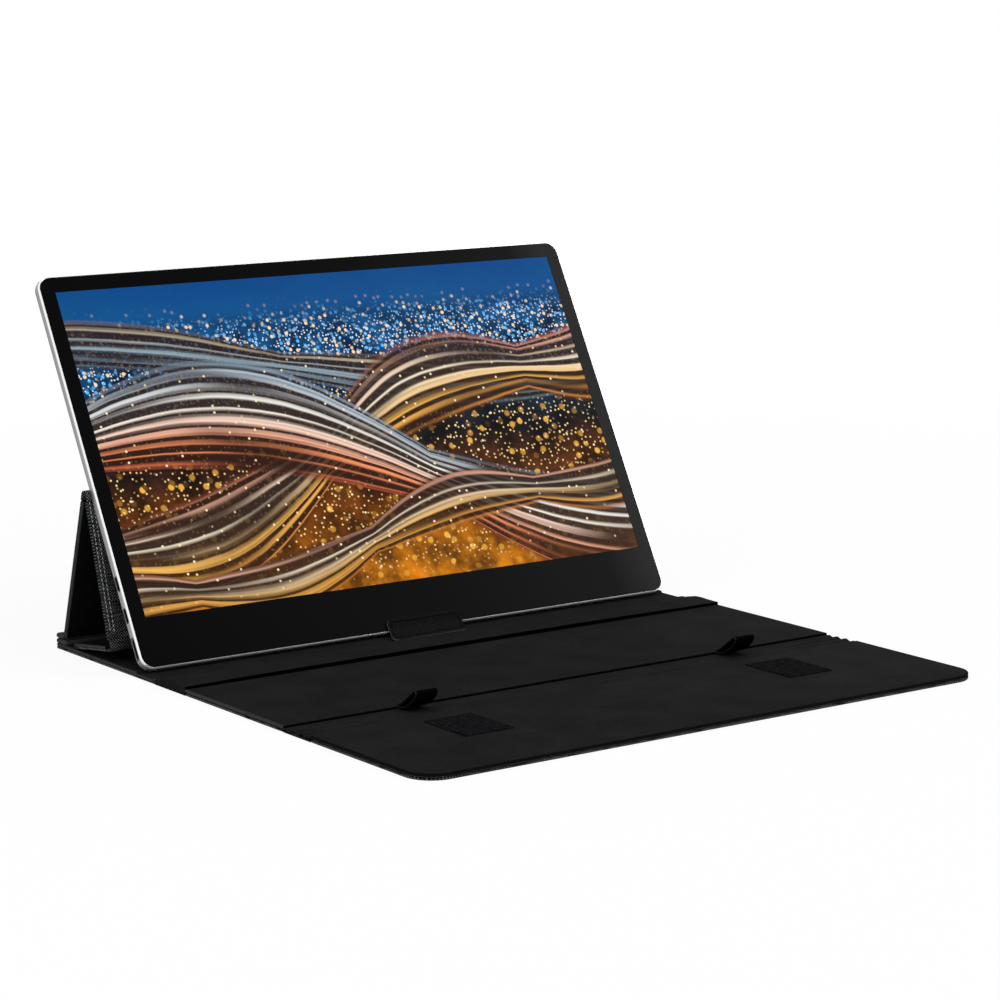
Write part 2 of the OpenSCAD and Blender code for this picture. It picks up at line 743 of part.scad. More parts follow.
module foot_fold() { in_object() fold_band(foot, 180 - front_leg_lean, 270 - flap_drop); }

flap_panel_l = flap_l - fold_l;

module in_flap() {
    face = foot + polar(270 - flap_drop, panel_t);
    in_object() translate([0, face[0], face[1]]) rotate([-flap_drop, 0, 0])
        translate([0, fold_l, 0]) children();
}

module flap_skin() { in_flap() panel_skin(flap_panel_l, panel_t, panel_r, panel_r); }

module flap_board() {
    difference() {
        in_flap() panel_board(flap_panel_l, panel_t, panel_r, panel_r);
        in_flap() magnets(flap_panel_l * 0.6, skin_t + 0.3, magnet_gap);
    }
}

module flap_lining() { in_flap() panel_lining(flap_panel_l, panel_t, panel_r, panel_r); }

module flap_magnets() { color([0.7, 0.7, 0.72]) in_flap() magnets(flap_panel_l * 0.6, skin_t + 0.3, 0); }

// The strip between base and middle panel: flat outside, arched lining on top
module spine_skin() {
    color([0.1, 0.1, 0.11]) in_object() translate([-cover_w / 2, middle_y, 0]) cube([cover_w, spine_l, skin_t]);
}

// Its height: a quick swell, then a gentle fall to an upright front edge
function spine_z(s) = panel_t + (front_panel_t - panel_t) * s
    + spine_rise * (s < 0.45 ? pow(sin(200 * s), 1.5) : 1 - 0.3 * (s - 0.45) / 0.55);

module spine_lining() {
    n = 24;
    t = lining_t + 0.2;
    top = [for (i = [0:n]) [spine_y - spine_l * i / n, spine_z(i / n)]];
    low = [for (i = [n - 1:-1:0]) [spine_y - spine_l * i / n, spine_z(i / n) - t]];
    edge = [[middle_y, front_panel_t - t], [middle_y + t, front_panel_t - t], [middle_y + t, spine_z(1) - t]];
    color([0.13, 0.13, 0.13]) in_object() along_x(cover_w) polygon(concat(top, edge, low));
}

module in_middle() { in_object() translate([0, middle_y, 0]) rotate(180) children(); }

module middle_skin() { in_middle() panel_skin(middle_l, front_panel_t, panel_r, panel_r); }

module middle_board() { in_middle() panel_board(middle_l, front_panel_t, panel_r, panel_r); }

module middle_lining() { in_middle() panel_lining(middle_l, front_panel_t, panel_r, panel_r); }

// The soft hinge between middle and front panel lies in three low ripples
module ripple_skin() {
    color([0.1, 0.1, 0.11]) in_object() translate([-cover_w / 2, front_y, 0]) cube([cover_w, ripple_l, skin_t]);
}

ripples = 3;

function ripple_z(s) = skin_t + lining_t + 0.9 + (front_panel_t - 2.1 - ripple_h) * s
    + ripple_h * sin(360 * ripples * s);

module ripple_lining() {
    n = 12 * ripples;
    top = [for (i = [0:n]) [ripple_y - ripple_l * i / n, ripple_z(i / n)]];
    low = [for (i = [n:-1:0]) [ripple_y - ripple_l * i / n, ripple_z(i / n) - lining_t]];
    color([0.13, 0.13, 0.13]) in_object() along_x(cover_w) polygon(concat(top, low));
}

module in_front() { in_object() translate([0, front_y, 0]) rotate(180) children(); }

module front_skin() { in_front() panel_skin(front_l, front_panel_t, panel_r, front_r); }

module front_board() {
    difference() {
        in_front() panel_board(front_l, front_panel_t, panel_r, front_r);
        in_front() magnets(front_l - front_r, skin_t + 0.3, magnet_gap);
    }
}

module front_lining() { in_front() panel_lining(front_l, front_panel_t, panel_r, front_r); }

module front_magnets() { color([0.7, 0.7, 0.72]) in_front() magnets(front_l - front_r, skin_t + 0.3, 0); }

// ---- Tab, loops and patches ----

// A leather strap that rises from the base and folds back over the glass's lower edge
module leather_tab() {
    n = [-cos(lean), sin(lean)];
    up = [sin(lean), cos(lean)];
    low = [rim_out * sin(lean), glass_foot_z];
    back = stand_gap;
    heel = [-tab_out, seat_floor + 0.05];
    bend = low - up * (rim_out + 0.2);
    color([0.12, 0.12, 0.12]) in_object() along_x(tab_w, tab_x) polygon([
        low + up * tab_up + n * back, bend + n * back, heel,
        heel - [tab_t * 1.15, 0], bend + n * (back + tab_t) - [tab_t * 0.35, 0], low + up * tab_up + n * (back + tab_t),
    ]);
}

// A ribbon doubled into a flat loop: pinched at its root, round at its tip
module pull_loop(x) {
    r = loop_t / 2;
    tip = loop_l - r;
    tilt = asin((r - ribbon_t) / tip);
    root = [ripple_y - 0.4, ripple_z(0) + ribbon_t + 0.3];
    color([0.05, 0.05, 0.05]) in_object() along_x(loop_w, x) translate(root) rotate(180 - loop_slope) difference() {
        polygon(concat([[0, -ribbon_t]], arc([tip, 0], r, -90 - tilt, 90 + tilt, 16), [[0, ribbon_t]]));
        polygon(concat([[4 * ribbon_t, 0]], arc([tip, 0], r - ribbon_t, -90 - tilt, 90 + tilt, 16)));
    }
}

module pull_loop_left() { pull_loop(-patch_x); }

module pull_loop_right() { pull_loop(patch_x); }

module hook_patch(x) {
    color([0.06, 0.06, 0.07]) in_front() translate([x, patch_in, front_panel_t]) linear_extrude(patch_t)
        plate_2d(patch_w, patch_l, 1, 1);
}

module hook_patch_left() { hook_patch(patch_x); }

module hook_patch_right() { hook_patch(-patch_x); }

monitor_frame();
rear_cover();
cover_screws();
front_glass();
glass_tape();
lcd_cell();
optical_films();
light_guide();
reflector_sheet();
led_bar();
backlight_tray();
driver_board();
display_cable();
main_board();
board_chips();
usb_c_port_upper();
usb_c_port_lower();
mini_hdmi_port();
headphone_jack();
speaker_left();
speaker_right();
button_board();
power_button();
menu_rocker();
base_skin();
base_board();
base_lining();
base_magnets();
hem_strip();
rear_fold();
rear_leg_skin();
rear_leg_board();
rear_leg_lining();
apex_fold();
front_leg_skin();
front_leg_board();
front_leg_lining();
foot_fold();
flap_skin();
flap_board();
flap_lining();
flap_magnets();
spine_skin();
spine_lining();
middle_skin();
middle_board();
middle_lining();
ripple_skin();
ripple_lining();
front_skin();
front_board();
front_lining();
front_magnets();
leather_tab();
pull_loop_left();
pull_loop_right();
hook_patch_left();
hook_patch_right();
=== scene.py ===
"""Dresses the portable monitor and its folding cover, and sets the stage round them."""

import json
import math

import bmesh
import bpy
from bpy.props import FloatProperty, FloatVectorProperty, IntProperty, PointerProperty
from mathutils import Matrix, Vector, noise


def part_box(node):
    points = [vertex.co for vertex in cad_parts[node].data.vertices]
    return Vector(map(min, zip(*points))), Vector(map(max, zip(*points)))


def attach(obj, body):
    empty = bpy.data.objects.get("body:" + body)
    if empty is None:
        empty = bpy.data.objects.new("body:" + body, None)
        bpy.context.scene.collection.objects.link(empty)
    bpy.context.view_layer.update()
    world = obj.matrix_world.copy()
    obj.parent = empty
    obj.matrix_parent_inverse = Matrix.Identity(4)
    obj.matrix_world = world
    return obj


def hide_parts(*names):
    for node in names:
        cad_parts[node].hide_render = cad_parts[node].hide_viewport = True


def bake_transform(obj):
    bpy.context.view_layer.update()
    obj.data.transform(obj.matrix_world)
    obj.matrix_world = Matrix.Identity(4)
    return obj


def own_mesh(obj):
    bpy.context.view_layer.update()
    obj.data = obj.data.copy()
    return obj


bl_info = {
    "name": "Portable monitor with cover",
    "version": (1, 0, 0),
    "blender": (4, 5, 0),
    "location": "View3D > Sidebar > Monitor",
    "description": "Cloth, leather, stitching and finishes for a monitor on its folded cover",
    "category": "Object",
}

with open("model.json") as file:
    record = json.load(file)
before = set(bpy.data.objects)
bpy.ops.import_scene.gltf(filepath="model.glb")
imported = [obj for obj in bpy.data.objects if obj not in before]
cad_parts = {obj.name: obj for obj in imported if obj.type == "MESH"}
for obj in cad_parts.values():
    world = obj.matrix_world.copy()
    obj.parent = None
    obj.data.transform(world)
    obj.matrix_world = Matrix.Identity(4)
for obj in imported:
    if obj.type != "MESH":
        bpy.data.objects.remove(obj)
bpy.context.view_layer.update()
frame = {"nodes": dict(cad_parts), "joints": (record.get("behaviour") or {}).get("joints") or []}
JOINT = {j["name"]: Vector(j["pos_m"]) for j in frame["joints"] if j.get("pos_m")}
MM = 0.001


# ---- Places read from the frame ----

def low(node):
    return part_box(node)[0]


def high(node):
    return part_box(node)[1]


COVER_W = high("base_skin").x - low("base_skin").x
BASE_T = high("base_lining").z
FRONT_T = high("front_lining").z
STAND = JOINT["stand_fold"]
APEX = JOINT["apex_hinge"]
FOOT = JOINT["foot_hinge"]
SEAT = JOINT["monitor_tilt"]
LEAN = math.radians(29)
ACROSS = Vector((1, 0, 0))
UP = Vector((0, math.sin(LEAN), math.cos(LEAN)))
OUT = Vector((0, -math.cos(LEAN), math.sin(LEAN)))


def axes(origin, along, normal):
    """The placing of a panel that was modelled flat: X across, Y along, Z to the lining."""
    m = Matrix((ACROSS, along, normal)).transposed().to_4x4()
    return Matrix.Translation(origin) @ m


def leg_axes():
    """Placing, length and slope of the stand's panels, worked out from its folds."""
    t = BASE_T
    dy, dz = STAND.y - APEX.y, APEX.z - STAND.z
    span = math.hypot(dy, dz)
    a = math.atan2(dy, dz) - math.asin(t / span)
    rear = axes(STAND, Vector((0, -math.sin(a), math.cos(a))), Vector((0, -math.cos(a), -math.sin(a))))
    rear_l = math.sqrt(span * span - t * t)
    b = math.atan2(APEX.y - FOOT.y, APEX.z - FOOT.z)
    corner = APEX + t * Vector((0, -math.cos(b), math.sin(b)))
    front = axes(corner, Vector((0, -math.sin(b), -math.cos(b))), Vector((0, math.cos(b), -math.sin(b))))
    front_l = (APEX - FOOT).length
    rest = BASE_T + cloth().flap_gap * MM + t
    flap_l = cloth().flap_l * MM
    c = math.asin((FOOT.z - rest) / flap_l)
    corner = FOOT + t * Vector((0, -math.sin(c), -math.cos(c)))
    flap = axes(corner, Vector((0, math.cos(c), -math.sin(c))), Vector((0, math.sin(c), math.cos(c))))
    return {"rear": (rear, rear_l, a), "front": (front, front_l, b), "flap": (flap, flap_l, c)}


# ---- Sizes and colours a user may change ----

def size(label, text, value, least, most):
    """A length in millimetres."""
    return FloatProperty(name=label, description=text, default=value, min=least, max=most)


def shade(label, text, value):
    """A colour of a finish."""
    return FloatVectorProperty(name=label, description=text, subtype="COLOR", size=3, default=value,
                               min=0, max=1)


class FaceSizes(bpy.types.PropertyGroup):
    """Sizes of the monitor's face, in millimetres"""

    lit_w: size("Picture width", "Width of the lit picture", 344.2, 300, 360)
    lit_h: size("Picture height", "Height of the lit picture", 193.6, 160, 210)
    lit_foot: size("Border below", "Height of the printed border below the picture", 28.1, 10, 40)
    rim: size("Metal rim", "Height of the frame's rim below the glass", 0.9, 0.3, 3)
    depth: size("Monitor thickness", "Distance from the monitor's back to its glass", 5.8, 4, 12)


class ClothSizes(bpy.types.PropertyGroup):
    """Sizes of the cover's cloth, in millimetres"""

    flap_l: size("Flap length", "Length of the flap inside the stand", 40, 20, 60)
    flap_gap: size("Flap gap", "Gap between the flap's edge and the base", 0.3, 0, 2)
    tail: size("Leg tail", "How far the rear panel reaches below its fold", 2, 0, 5)
    fold: size("Fold allowance", "Cloth left free on each side of a fold", 3.5, 1, 8)
    slit: size("Edge slit", "Dark slit between the two cloths at a panel's edge", 0.16, 0.05, 0.6)
    lip: size("Binding width", "Width of the cloth turned over a panel's edge", 0.75, 0.3, 5)
    groove: size("Lining groove", "Gap between binding and lining", 0.3, 0.05, 1)
    inlay: size("Lining depth", "How deep the lining is let into a panel", 0.5, 0.3, 1)
    edge_r: size("Edge rounding", "Rounding of the cloth's edges", 0.55, 0.1, 1.2)
    corner_r: size("Corner radius", "Radius of a panel's corners", 1.5, 0.5, 4)
    front_r: size("Front corner radius", "Radius of the cover's two front corners", 16, 4, 30)
    skin_t: size("Outer cloth", "Thickness of the outer cloth under a hinge", 0.6, 0.3, 1.2)
    soft_t: size("Soft hinge cloth", "Thickness of the rippled cloth", 0.8, 0.4, 1.2)
    fold_t: size("Fold cloth", "Thickness of the cloth round the stand's folds", 1.2, 0.6, 2)
    ripples: IntProperty(name="Ripples", description="Waves in the soft hinge", default=3, min=1, max=6)
    ripple_h: size("Ripple height", "Height of the waves at the ends of the soft hinge", 0.55, 0, 0.8)
    spine_full: size("Spine fullness", "Extra height of the spine's front edge in the middle", 0.8, 0, 2)
    seat_from: size("Seat groove", "Distance of the seat groove from the base's front edge", 1.6, 1, 4)
    weave: size("Yarn pitch", "Spacing of the yarns in the woven outside", 0.86, 0.3, 2)


class TrimSizes(bpy.types.PropertyGroup):
    """Sizes of the tab, loops, patches and stitches, in millimetres"""

    tab_w: size("Tab width", "Width of the leather tab at its bend", 50.7, 20, 80)
    tab_x: size("Tab place", "How far the tab sits right of the middle", 0.7, -10, 10)
    tab_lay: size("Tab lay", "How far the tab's lower edge lies left of square", 5.0, 0, 8)
    tab_foot: size("Tab foot", "Distance of the tab's lower edge from the monitor's seat", 17.8, 12, 19)
    tab_slant: size("Tab slant", "How much further the tab's lower edge reaches at its left", 2.6, 0, 4)
    tab_t: size("Tab thickness", "Thickness of the leather", 1.1, 0.8, 2)
    tab_up: size("Tab reach", "How far the tab reaches up the glass", 6.3, 3, 9)
    tab_gap: size("Tab gap", "Gap between the leather and the monitor", 0.3, 0, 1)
    tab_r: size("Tab corner radius", "Radius of the tab's corners", 3.4, 1, 6)
    tab_bend: size("Tab bend", "Length of leather taken up by the bend on each side", 2.4, 1, 5)
    seam_in: size("Tab seam inset", "Distance of the tab's seam from its edge", 2.0, 1, 5)
    seam_pitch: size("Tab seam pitch", "Distance from one stitch of the tab to the next", 2.2, 1, 5)
    seam_l: size("Tab stitch length", "Length of one stitch of the tab", 1.5, 0.5, 4)
    seam_t: size("Tab thread", "Width of the tab's thread", 0.7, 0.2, 1)
    loop_w: size("Loop width", "Width of the pull loops' ribbon", 14.4, 10, 20)
    loop_l: size("Loop length", "Length of the pull loops", 19.6, 12, 22)
    ribbon_t: size("Ribbon thickness", "Thickness of the loops' ribbon", 0.9, 0.4, 1.4)
    stitch_l: size("Stitch length", "Length of one stitch", 1.6, 0.8, 4)
    stitch_gap: size("Stitch gap", "Gap between two stitches", 0.9, 0.3, 3)
    thread: size("Thread width", "Width of the thread", 0.5, 0.2, 1)
    hem_in: size("Hem stitch inset", "First stitch row's distance from a leg's edge", 1.3, 0.5, 5)
    hem_step: size("Hem row spacing", "Distance between the two stitch rows", 2.4, 1, 6)


class Finishes(bpy.types.PropertyGroup):
    """Colours of the visible finishes"""

    woven: shade("Woven cloth", "Dark yarn of the cover's outside", (0.0022, 0.0023, 0.0025))
    fleck: shade("Yarn flecks", "Light yarn of the cover's outside", (0.40, 0.42, 0.42))
    lining: shade("Lining", "Brushed lining of the cover", (0.0112, 0.0111, 0.0114))
    lint: shade("Lint", "Pale specks on the lining", (0.075, 0.078, 0.085))
    leather: shade("Leather", "Leather of the tab", (0.0070, 0.0070, 0.0071))
    ribbon: shade("Ribbon", "Ribbon of the pull loops", (0.0017, 0.0017, 0.0019))
    selvedge: shade("Selvedge", "Firm edges of the ribbon", (0.035, 0.036, 0.038))
    hooks: shade("Hook patches", "Hook pads on the front panel", (0.0070, 0.0070, 0.0078))
    thread: shade("Thread", "Thread of the hem stitches", (0.50, 0.51, 0.52))
    metal: shade("Frame", "Anodised side of the monitor's frame", (0.30, 0.288, 0.30))
    polish: shade("Polished bevel", "Polished bevel of the monitor's frame", (0.93, 0.93, 0.94))
    glass: shade("Glass border", "Printed border behind the glass", (0.0012, 0.0013, 0.0016))


GROUPS = {"monitor_face": FaceSizes, "monitor_cloth": ClothSizes, "monitor_trim": TrimSizes,
          "monitor_finish": Finishes}


def face():
    return bpy.context.scene.monitor_face


def cloth():
    return bpy.context.scene.monitor_cloth


def trim():
    return bpy.context.scene.monitor_trim


def finish(name):
    """A finish's colour as three numbers."""
    return tuple(getattr(bpy.context.scene.monitor_finish, name))


# ---- Modelling helpers ----

TOUCH = 0.001 * MM
EASY_ANGLE = 50


def take(obj):
    """Makes obj the only selected and active object."""
    bpy.ops.object.select_all(action="DESELECT")
    obj.select_set(True)
    bpy.context.view_layer.objects.active = obj


def settle(obj):
    """Bakes the object's place into its mesh, as a CAD node's is."""
    take(obj)
    bpy.ops.object.transform_apply(location=True, rotation=True, scale=True)


def select(obj, kind, test):
    """In edit mode, selects the vertices, edges or faces for which test is true."""
    mesh = bmesh.from_edit_mesh(obj.data)
    bpy.ops.mesh.select_all(action="DESELECT")
    bpy.context.tool_settings.mesh_select_mode = [kind == k for k in ("verts", "edges", "faces")]
    for e in getattr(mesh, kind):
        if test(e):
            e.select_set(True)
    mesh.select_flush_mode()
    bmesh.update_edit_mesh(obj.data)


def near(a, b):
    return abs(a - b) < TOUCH


def use(obj, kind, **settings):
    """Adds a modifier, sets it and applies it."""
    m = obj.modifiers.new(kind.title(), kind)
    for key, value in settings.items():
        setattr(m, key, value)
    take(obj)
    bpy.ops.object.modifier_apply(modifier=m.name)


def smooth(obj, degrees=EASY_ANGLE):
    """Shades the faces smoothly, apart from edges sharper than degrees."""
    take(obj)
    bpy.ops.object.shade_smooth_by_angle(angle=math.radians(degrees))


def whole_mesh():
    """Turns every face outwards and lays the UV map out at real size, in edit mode."""
    bpy.ops.mesh.select_all(action="SELECT")
    bpy.ops.mesh.normals_make_consistent(inside=False)
    bpy.ops.uv.cube_project(cube_size=1.0, correct_aspect=False, clip_to_bounds=False, scale_to_bounds=False)


def slab(name, width, length, z0, z1, r_start, r_end, edge, y0=0.0, dish=None):
    """A rounded plate from y0 to y0 + length; dish = (lip, depth) sinks its upper face inside a lip."""
    wide_corner, fine, coarse = 5 * MM, 18, 4
    bpy.ops.object.select_all(action="DESELECT")
    bpy.ops.mesh.primitive_cube_add(size=1, location=(0, y0 + length / 2, (z0 + z1) / 2),
                                    scale=(width, length, z1 - z0))
    obj = bpy.context.object
    obj.name = name
    settle(obj)
    bpy.ops.object.mode_set(mode="EDIT")
    for y, r in ((y0, r_start), (y0 + length, r_end)):
        if r > 0:
            select(obj, "edges", lambda e: near(e.verts[0].co.y, y) and near(e.verts[1].co.y, y)
                   and not near(e.verts[0].co.z, e.verts[1].co.z))
            bpy.ops.mesh.bevel(offset=r, segments=fine if r > wide_corner else coarse, affect="EDGES")
    if dish:
        select(obj, "faces", lambda f: f.normal.z > 0.9)
        bpy.ops.mesh.inset(thickness=dish[0])
        bpy.ops.mesh.extrude_region_move(TRANSFORM_OT_translate={"value": (0, 0, -dish[1])})
    select(obj, "edges", outer_edges(z0, z1, y0 + length / 2))
    bpy.ops.mesh.bevel(offset=edge, segments=coarse, affect="EDGES")
    whole_mesh()
    bpy.ops.object.mode_set(mode="OBJECT")
    return obj


def outer_edges(z0, z1, y_middle):
    """A test for the long edges round a plate's outside: one flat face and one wall that faces outwards."""
    def test(e):
        a, b = e.verts
        if not (near(a.co.z, b.co.z) and (near(a.co.z, z0) or near(a.co.z, z1))):
            return False
        walls = [f for f in e.link_faces if abs(f.normal.z) < 0.1]
        if len(walls) != 1 or len(e.link_faces) != 2:
            return False
        n = walls[0].normal
        c = walls[0].calc_center_median()
        return n.x * c.x + n.y * (c.y - y_middle) > 0
    return test


def cut_ends(obj, y_low=None, y_high=None):
    """Cuts a plate off square at y_low, y_high or both, and closes it."""
    take(obj)
    bpy.ops.object.mode_set(mode="EDIT")
    for y, n in ((y_low, -1), (y_high, 1)):
        if y is not None:
            bpy.ops.mesh.select_all(action="SELECT")
            bpy.ops.mesh.bisect(plane_co=(0, y, 0), plane_no=(0, n, 0), use_fill=True, clear_outer=True)
    whole_mesh()
    bpy.ops.object.mode_set(mode="OBJECT")


def sink(obj, y0, y1, share):
    """Presses a groove into a panel's upper side from y0 to y1; share is its depth in panel thicknesses."""
    ramp, steps = 1.1 * MM, 6
    take(obj)
    bpy.ops.object.mode_set(mode="EDIT")
    for end, way in ((y0, 1), (y1, -1)):
        for i in range(steps + 1):
            bpy.ops.mesh.select_all(action="SELECT")
            bpy.ops.mesh.bisect(plane_co=(0, end + way * ramp * i / steps, 0), plane_no=(0, 1, 0))
    bpy.ops.object.mode_set(mode="OBJECT")
    for v in obj.data.vertices:
        d = min(v.co.y - y0, y1 - v.co.y) / ramp
        v.co.z *= 1 - share * (0.5 - 0.5 * math.cos(math.pi * min(1.0, max(0.0, d))))


def darken_ends(obj, ends):
    """Gives the faces at a panel's open ends the second material, the near-black painted shade where the
    cloth runs into a fold.
    """
    reach, upright = 0.7 * MM, 0.6
    obj.data.materials.append(M["seam"])
    for poly in obj.data.polygons:
        if abs(poly.normal.y) > upright and any(abs(poly.center.y - y) < reach for y in ends):
            poly.material_index = 1


def place(obj, matrix):
    obj.matrix_world = matrix
    settle(obj)


def arc_lengths(path):
    """The distance of each point of a path from its start."""
    arc = [0.0]
    for p, q in zip(path, path[1:]):
        arc.append(arc[-1] + math.hypot(q[0] - p[0], q[1] - p[1]))
    return arc


def strip(name, width, path, thickness, x_cells, x0=0.0, widths=None, centres=None, rough=0.0, side=-1,
          edge=0.2, mats=(), lift=None, floor=None):
    """A cloth strip across X that follows path, a list of (y, z).

    widths and centres hold one value for each row. mats are its finish and, if two, that of its cut edge.
    rough is the height of its unevenness, and lift(u, row) adds to the height across its width.
    With floor, the strip is filled down to that height instead of being given a thickness."""
    rows = len(path)
    fade_rows, across, along, layer = 6, 60, 160, 3.1
    bpy.ops.object.select_all(action="DESELECT")
    bpy.ops.mesh.primitive_grid_add(x_subdivisions=x_cells, y_subdivisions=rows - 1, size=1)
    obj = bpy.context.object
    obj.name = name
    arc = arc_lengths(path)
    uv = obj.data.uv_layers.active.data
    place_of = {}
    for v in obj.data.vertices:
        u, row = v.co.x, min(rows - 1, round((v.co.y + 0.5) * (rows - 1)))
        w = widths[row] if widths else width
        y, z = path[row]
        uneven = noise.noise(Vector((u * width * across, arc[row] * along, layer)))
        wave = min(1.0, row / fade_rows) * rough * uneven
        if lift:
            wave += lift(2 * u, row)
        v.co = ((centres[row] if centres else x0) + u * w, y, z + wave)
        place_of[v.index] = (u * w, arc[row])
    for poly in obj.data.polygons:
        for i in poly.loop_indices:
            uv[i].uv = place_of[obj.data.loops[i].vertex_index]
    for key in mats:
        obj.data.materials.append(M[key])
    if floor is None:
        use(obj, "SOLIDIFY", thickness=thickness, offset=side, material_offset_rim=max(0, len(mats) - 1))
        use(obj, "BEVEL", width=edge * thickness, segments=2, limit_method="ANGLE",
            angle_limit=math.radians(60))
    else:
        fill_down(obj, floor)
    smooth(obj)
    return obj


def fill_down(obj, floor):
    """Closes a sheet into a solid that reaches down to the height floor."""
    deep = 50 * MM
    take(obj)
    bpy.ops.object.mode_set(mode="EDIT")
    bpy.ops.mesh.select_all(action="SELECT")
    bpy.ops.mesh.extrude_region_move(TRANSFORM_OT_translate={"value": (0, 0, -deep)})
    bpy.ops.object.mode_set(mode="OBJECT")
    for v in obj.data.vertices:
        if v.co.z < floor - deep / 5:
            v.co.z = floor
    bpy.ops.object.mode_set(mode="EDIT")
    bpy.ops.mesh.select_all(action="SELECT")
    bpy.ops.mesh.normals_make_consistent(inside=False)
    bpy.ops.object.mode_set(mode="OBJECT")


def stitch(thread, length):
    """One stitch, lying along Y."""
    flat = 0.8
    bpy.ops.object.select_all(action="DESELECT")
    bpy.ops.mesh.primitive_uv_sphere_add(segments=8, ring_count=6, radius=0.5,
                                         scale=(thread, length, thread * flat))
    obj = bpy.context.object
    settle(obj)
    bpy.ops.object.shade_smooth()
    return obj


def straight_row(name, start, length, pitch, size, matrix):
    """Stitches in a straight row along the panel's length."""
    obj = stitch(*size)
    obj.name = name
    obj.location = start
    settle(obj)
    use(obj, "ARRAY", count=int(length / pitch), use_relative_offset=False, use_constant_offset=True,
        constant_offset_displace=(0, pitch, 0))
    place(obj, matrix)
    return obj


def scattered(name, places, size):
    """Copies of one stitch, each at its own placing, joined into one piece."""
    first = stitch(*size)
    copies = []
    for m in places:
        c = first.copy()
        c.data = first.data.copy()
        bpy.context.collection.objects.link(c)
        c.matrix_world = m
        copies.append(c)
    bpy.data.objects.remove(first)
    take(copies[0])
    for c in copies:
        c.select_set(True)
    bpy.ops.object.join()
    obj = bpy.context.object
    obj.name = name
    settle(obj)
    return obj


# ---- Material helpers ----

def toned(color, share):
    """A colour made lighter or darker by share."""
    return tuple(min(1.0, share * x) for x in color)


class Shader:
    """A material's node tree with a principled shader, built by small calls."""

    def __init__(self, name, color, rough, metallic=0.0, specular=0.5):
        self.mat = bpy.data.materials.new(name)
        self.mat.use_nodes = True
        self.tree = self.mat.node_tree
        self.bsdf = next(n for n in self.tree.nodes if n.type == "BSDF_PRINCIPLED")
        self.set("Base Color", (*color, 1))
        self.set("Roughness", rough)
        self.set("Metallic", metallic)
        self.set("Specular IOR Level", specular)
        self.place = self.node("ShaderNodeTexCoord")

    def put(self, socket, value):
        """Links a socket to another node's output, or sets it."""
        if isinstance(value, bpy.types.NodeSocket):
            self.tree.links.new(value, socket)
        else:
            socket.default_value = value

    def set(self, socket, value):
        """Links or sets a socket of the principled shader."""
        self.put(self.bsdf.inputs[socket], value)

    def node(self, kind, **settings):
        n = self.tree.nodes.new(kind)
        for key, value in settings.items():
            setattr(n, key, value)
        return n

    def math(self, operation, *values, clamp=False):
        n = self.node("ShaderNodeMath", operation=operation, use_clamp=clamp)
        for socket, value in zip(n.inputs, values):
            self.put(socket, value)
        return n.outputs[0]

    def times(self, first, *others):
        for value in others:
            first = self.math("MULTIPLY", first, value)
        return first

    def plus(self, first, *others):
        for value in others:
            first = self.math("ADD", first, value)
        return first

    def minus(self, a, b):
        return self.math("SUBTRACT", a, b)

    def rest(self, value):
        """What is left of 1."""
        return self.math("SUBTRACT", 1.0, value)

    def absolute(self, value):
        return self.math("ABSOLUTE", value)

    def dot(self, direction, shift=0.0):
        """Object coordinates measured along a fixed direction, from shift on."""
        n = self.node("ShaderNodeVectorMath", operation="DOT_PRODUCT")
        self.put(n.inputs[0], self.place.outputs["Object"])
        self.put(n.inputs[1], direction)
        return self.minus(n.outputs["Value"], shift) if shift else n.outputs["Value"]

    def span(self, value, a, b):
        """0 below a, 1 above b and a soft step between them."""
        n = self.node("ShaderNodeMapRange", interpolation_type="SMOOTHSTEP")
        self.put(n.inputs["Value"], value)
        self.put(n.inputs["From Min"], a)
        self.put(n.inputs["From Max"], b)
        return n.outputs["Result"]

    def window(self, value, a, b, c, d):
        """1 from b to c, and 0 below a and above d."""
        return self.times(self.span(value, a, b), self.rest(self.span(value, c, d)))

    def mix(self, factor, a, b, blend="MIX"):
        n = self.node("ShaderNodeMix", data_type="RGBA", blend_type=blend)
        self.put(n.inputs[0], factor)
        for socket, value in ((n.inputs[6], a), (n.inputs[7], b)):
            self.put(socket, (*value, 1) if isinstance(value, tuple) else value)
        return n.outputs[2]

    def noise(self, scale, detail=2.0, rough=0.5, vector=None):
        n = self.node("ShaderNodeTexNoise")
        self.put(n.inputs["Vector"], vector or self.place.outputs["Object"])
        self.put(n.inputs["Scale"], scale)
        self.put(n.inputs["Detail"], detail)
        self.put(n.inputs["Roughness"], rough)
        return n.outputs["Fac"]

    def streaks(self, *ways, detail=2.0, rough=0.6):
        """Noise stretched along its ways, each a coordinate and its scale."""
        stretched = [self.times(value, scale) for value, scale in ways]
        return self.noise(1.0, detail, rough, self.combine(*stretched))

    def ramp(self, value, *stops):
        n = self.node("ShaderNodeValToRGB")
        self.put(n.inputs[0], value)
        e = n.color_ramp.elements
        while len(e) < len(stops):
            e.new(0.5)
        for element, (position, color) in zip(e, stops):
            element.position = position
            element.color = (*color, 1)
        return n.outputs[0]

    def combine(self, x, y, z=0.0):
        n = self.node("ShaderNodeCombineXYZ")
        for socket, value in zip(n.inputs, (x, y, z)):
            self.put(socket, value)
        return n.outputs[0]

    def parts(self, vector):
        n = self.node("ShaderNodeSeparateXYZ")
        self.put(n.inputs[0], vector)
        return n.outputs

    def uv(self):
        u, v, _ = self.parts(self.place.outputs["UV"])
        return u, v

    def bump(self, height, strength, distance, under=None):
        """Relief; under is a coarser relief that it lies on."""
        n = self.node("ShaderNodeBump")
        self.put(n.inputs["Strength"], strength)
        self.put(n.inputs["Distance"], distance)
        self.put(n.inputs["Height"], height)
        if under is not None:
            self.put(n.inputs["Normal"], under)
        self.set("Normal", n.outputs[0])
        return n.outputs[0]


# ---- Cloth, leather and thread ----

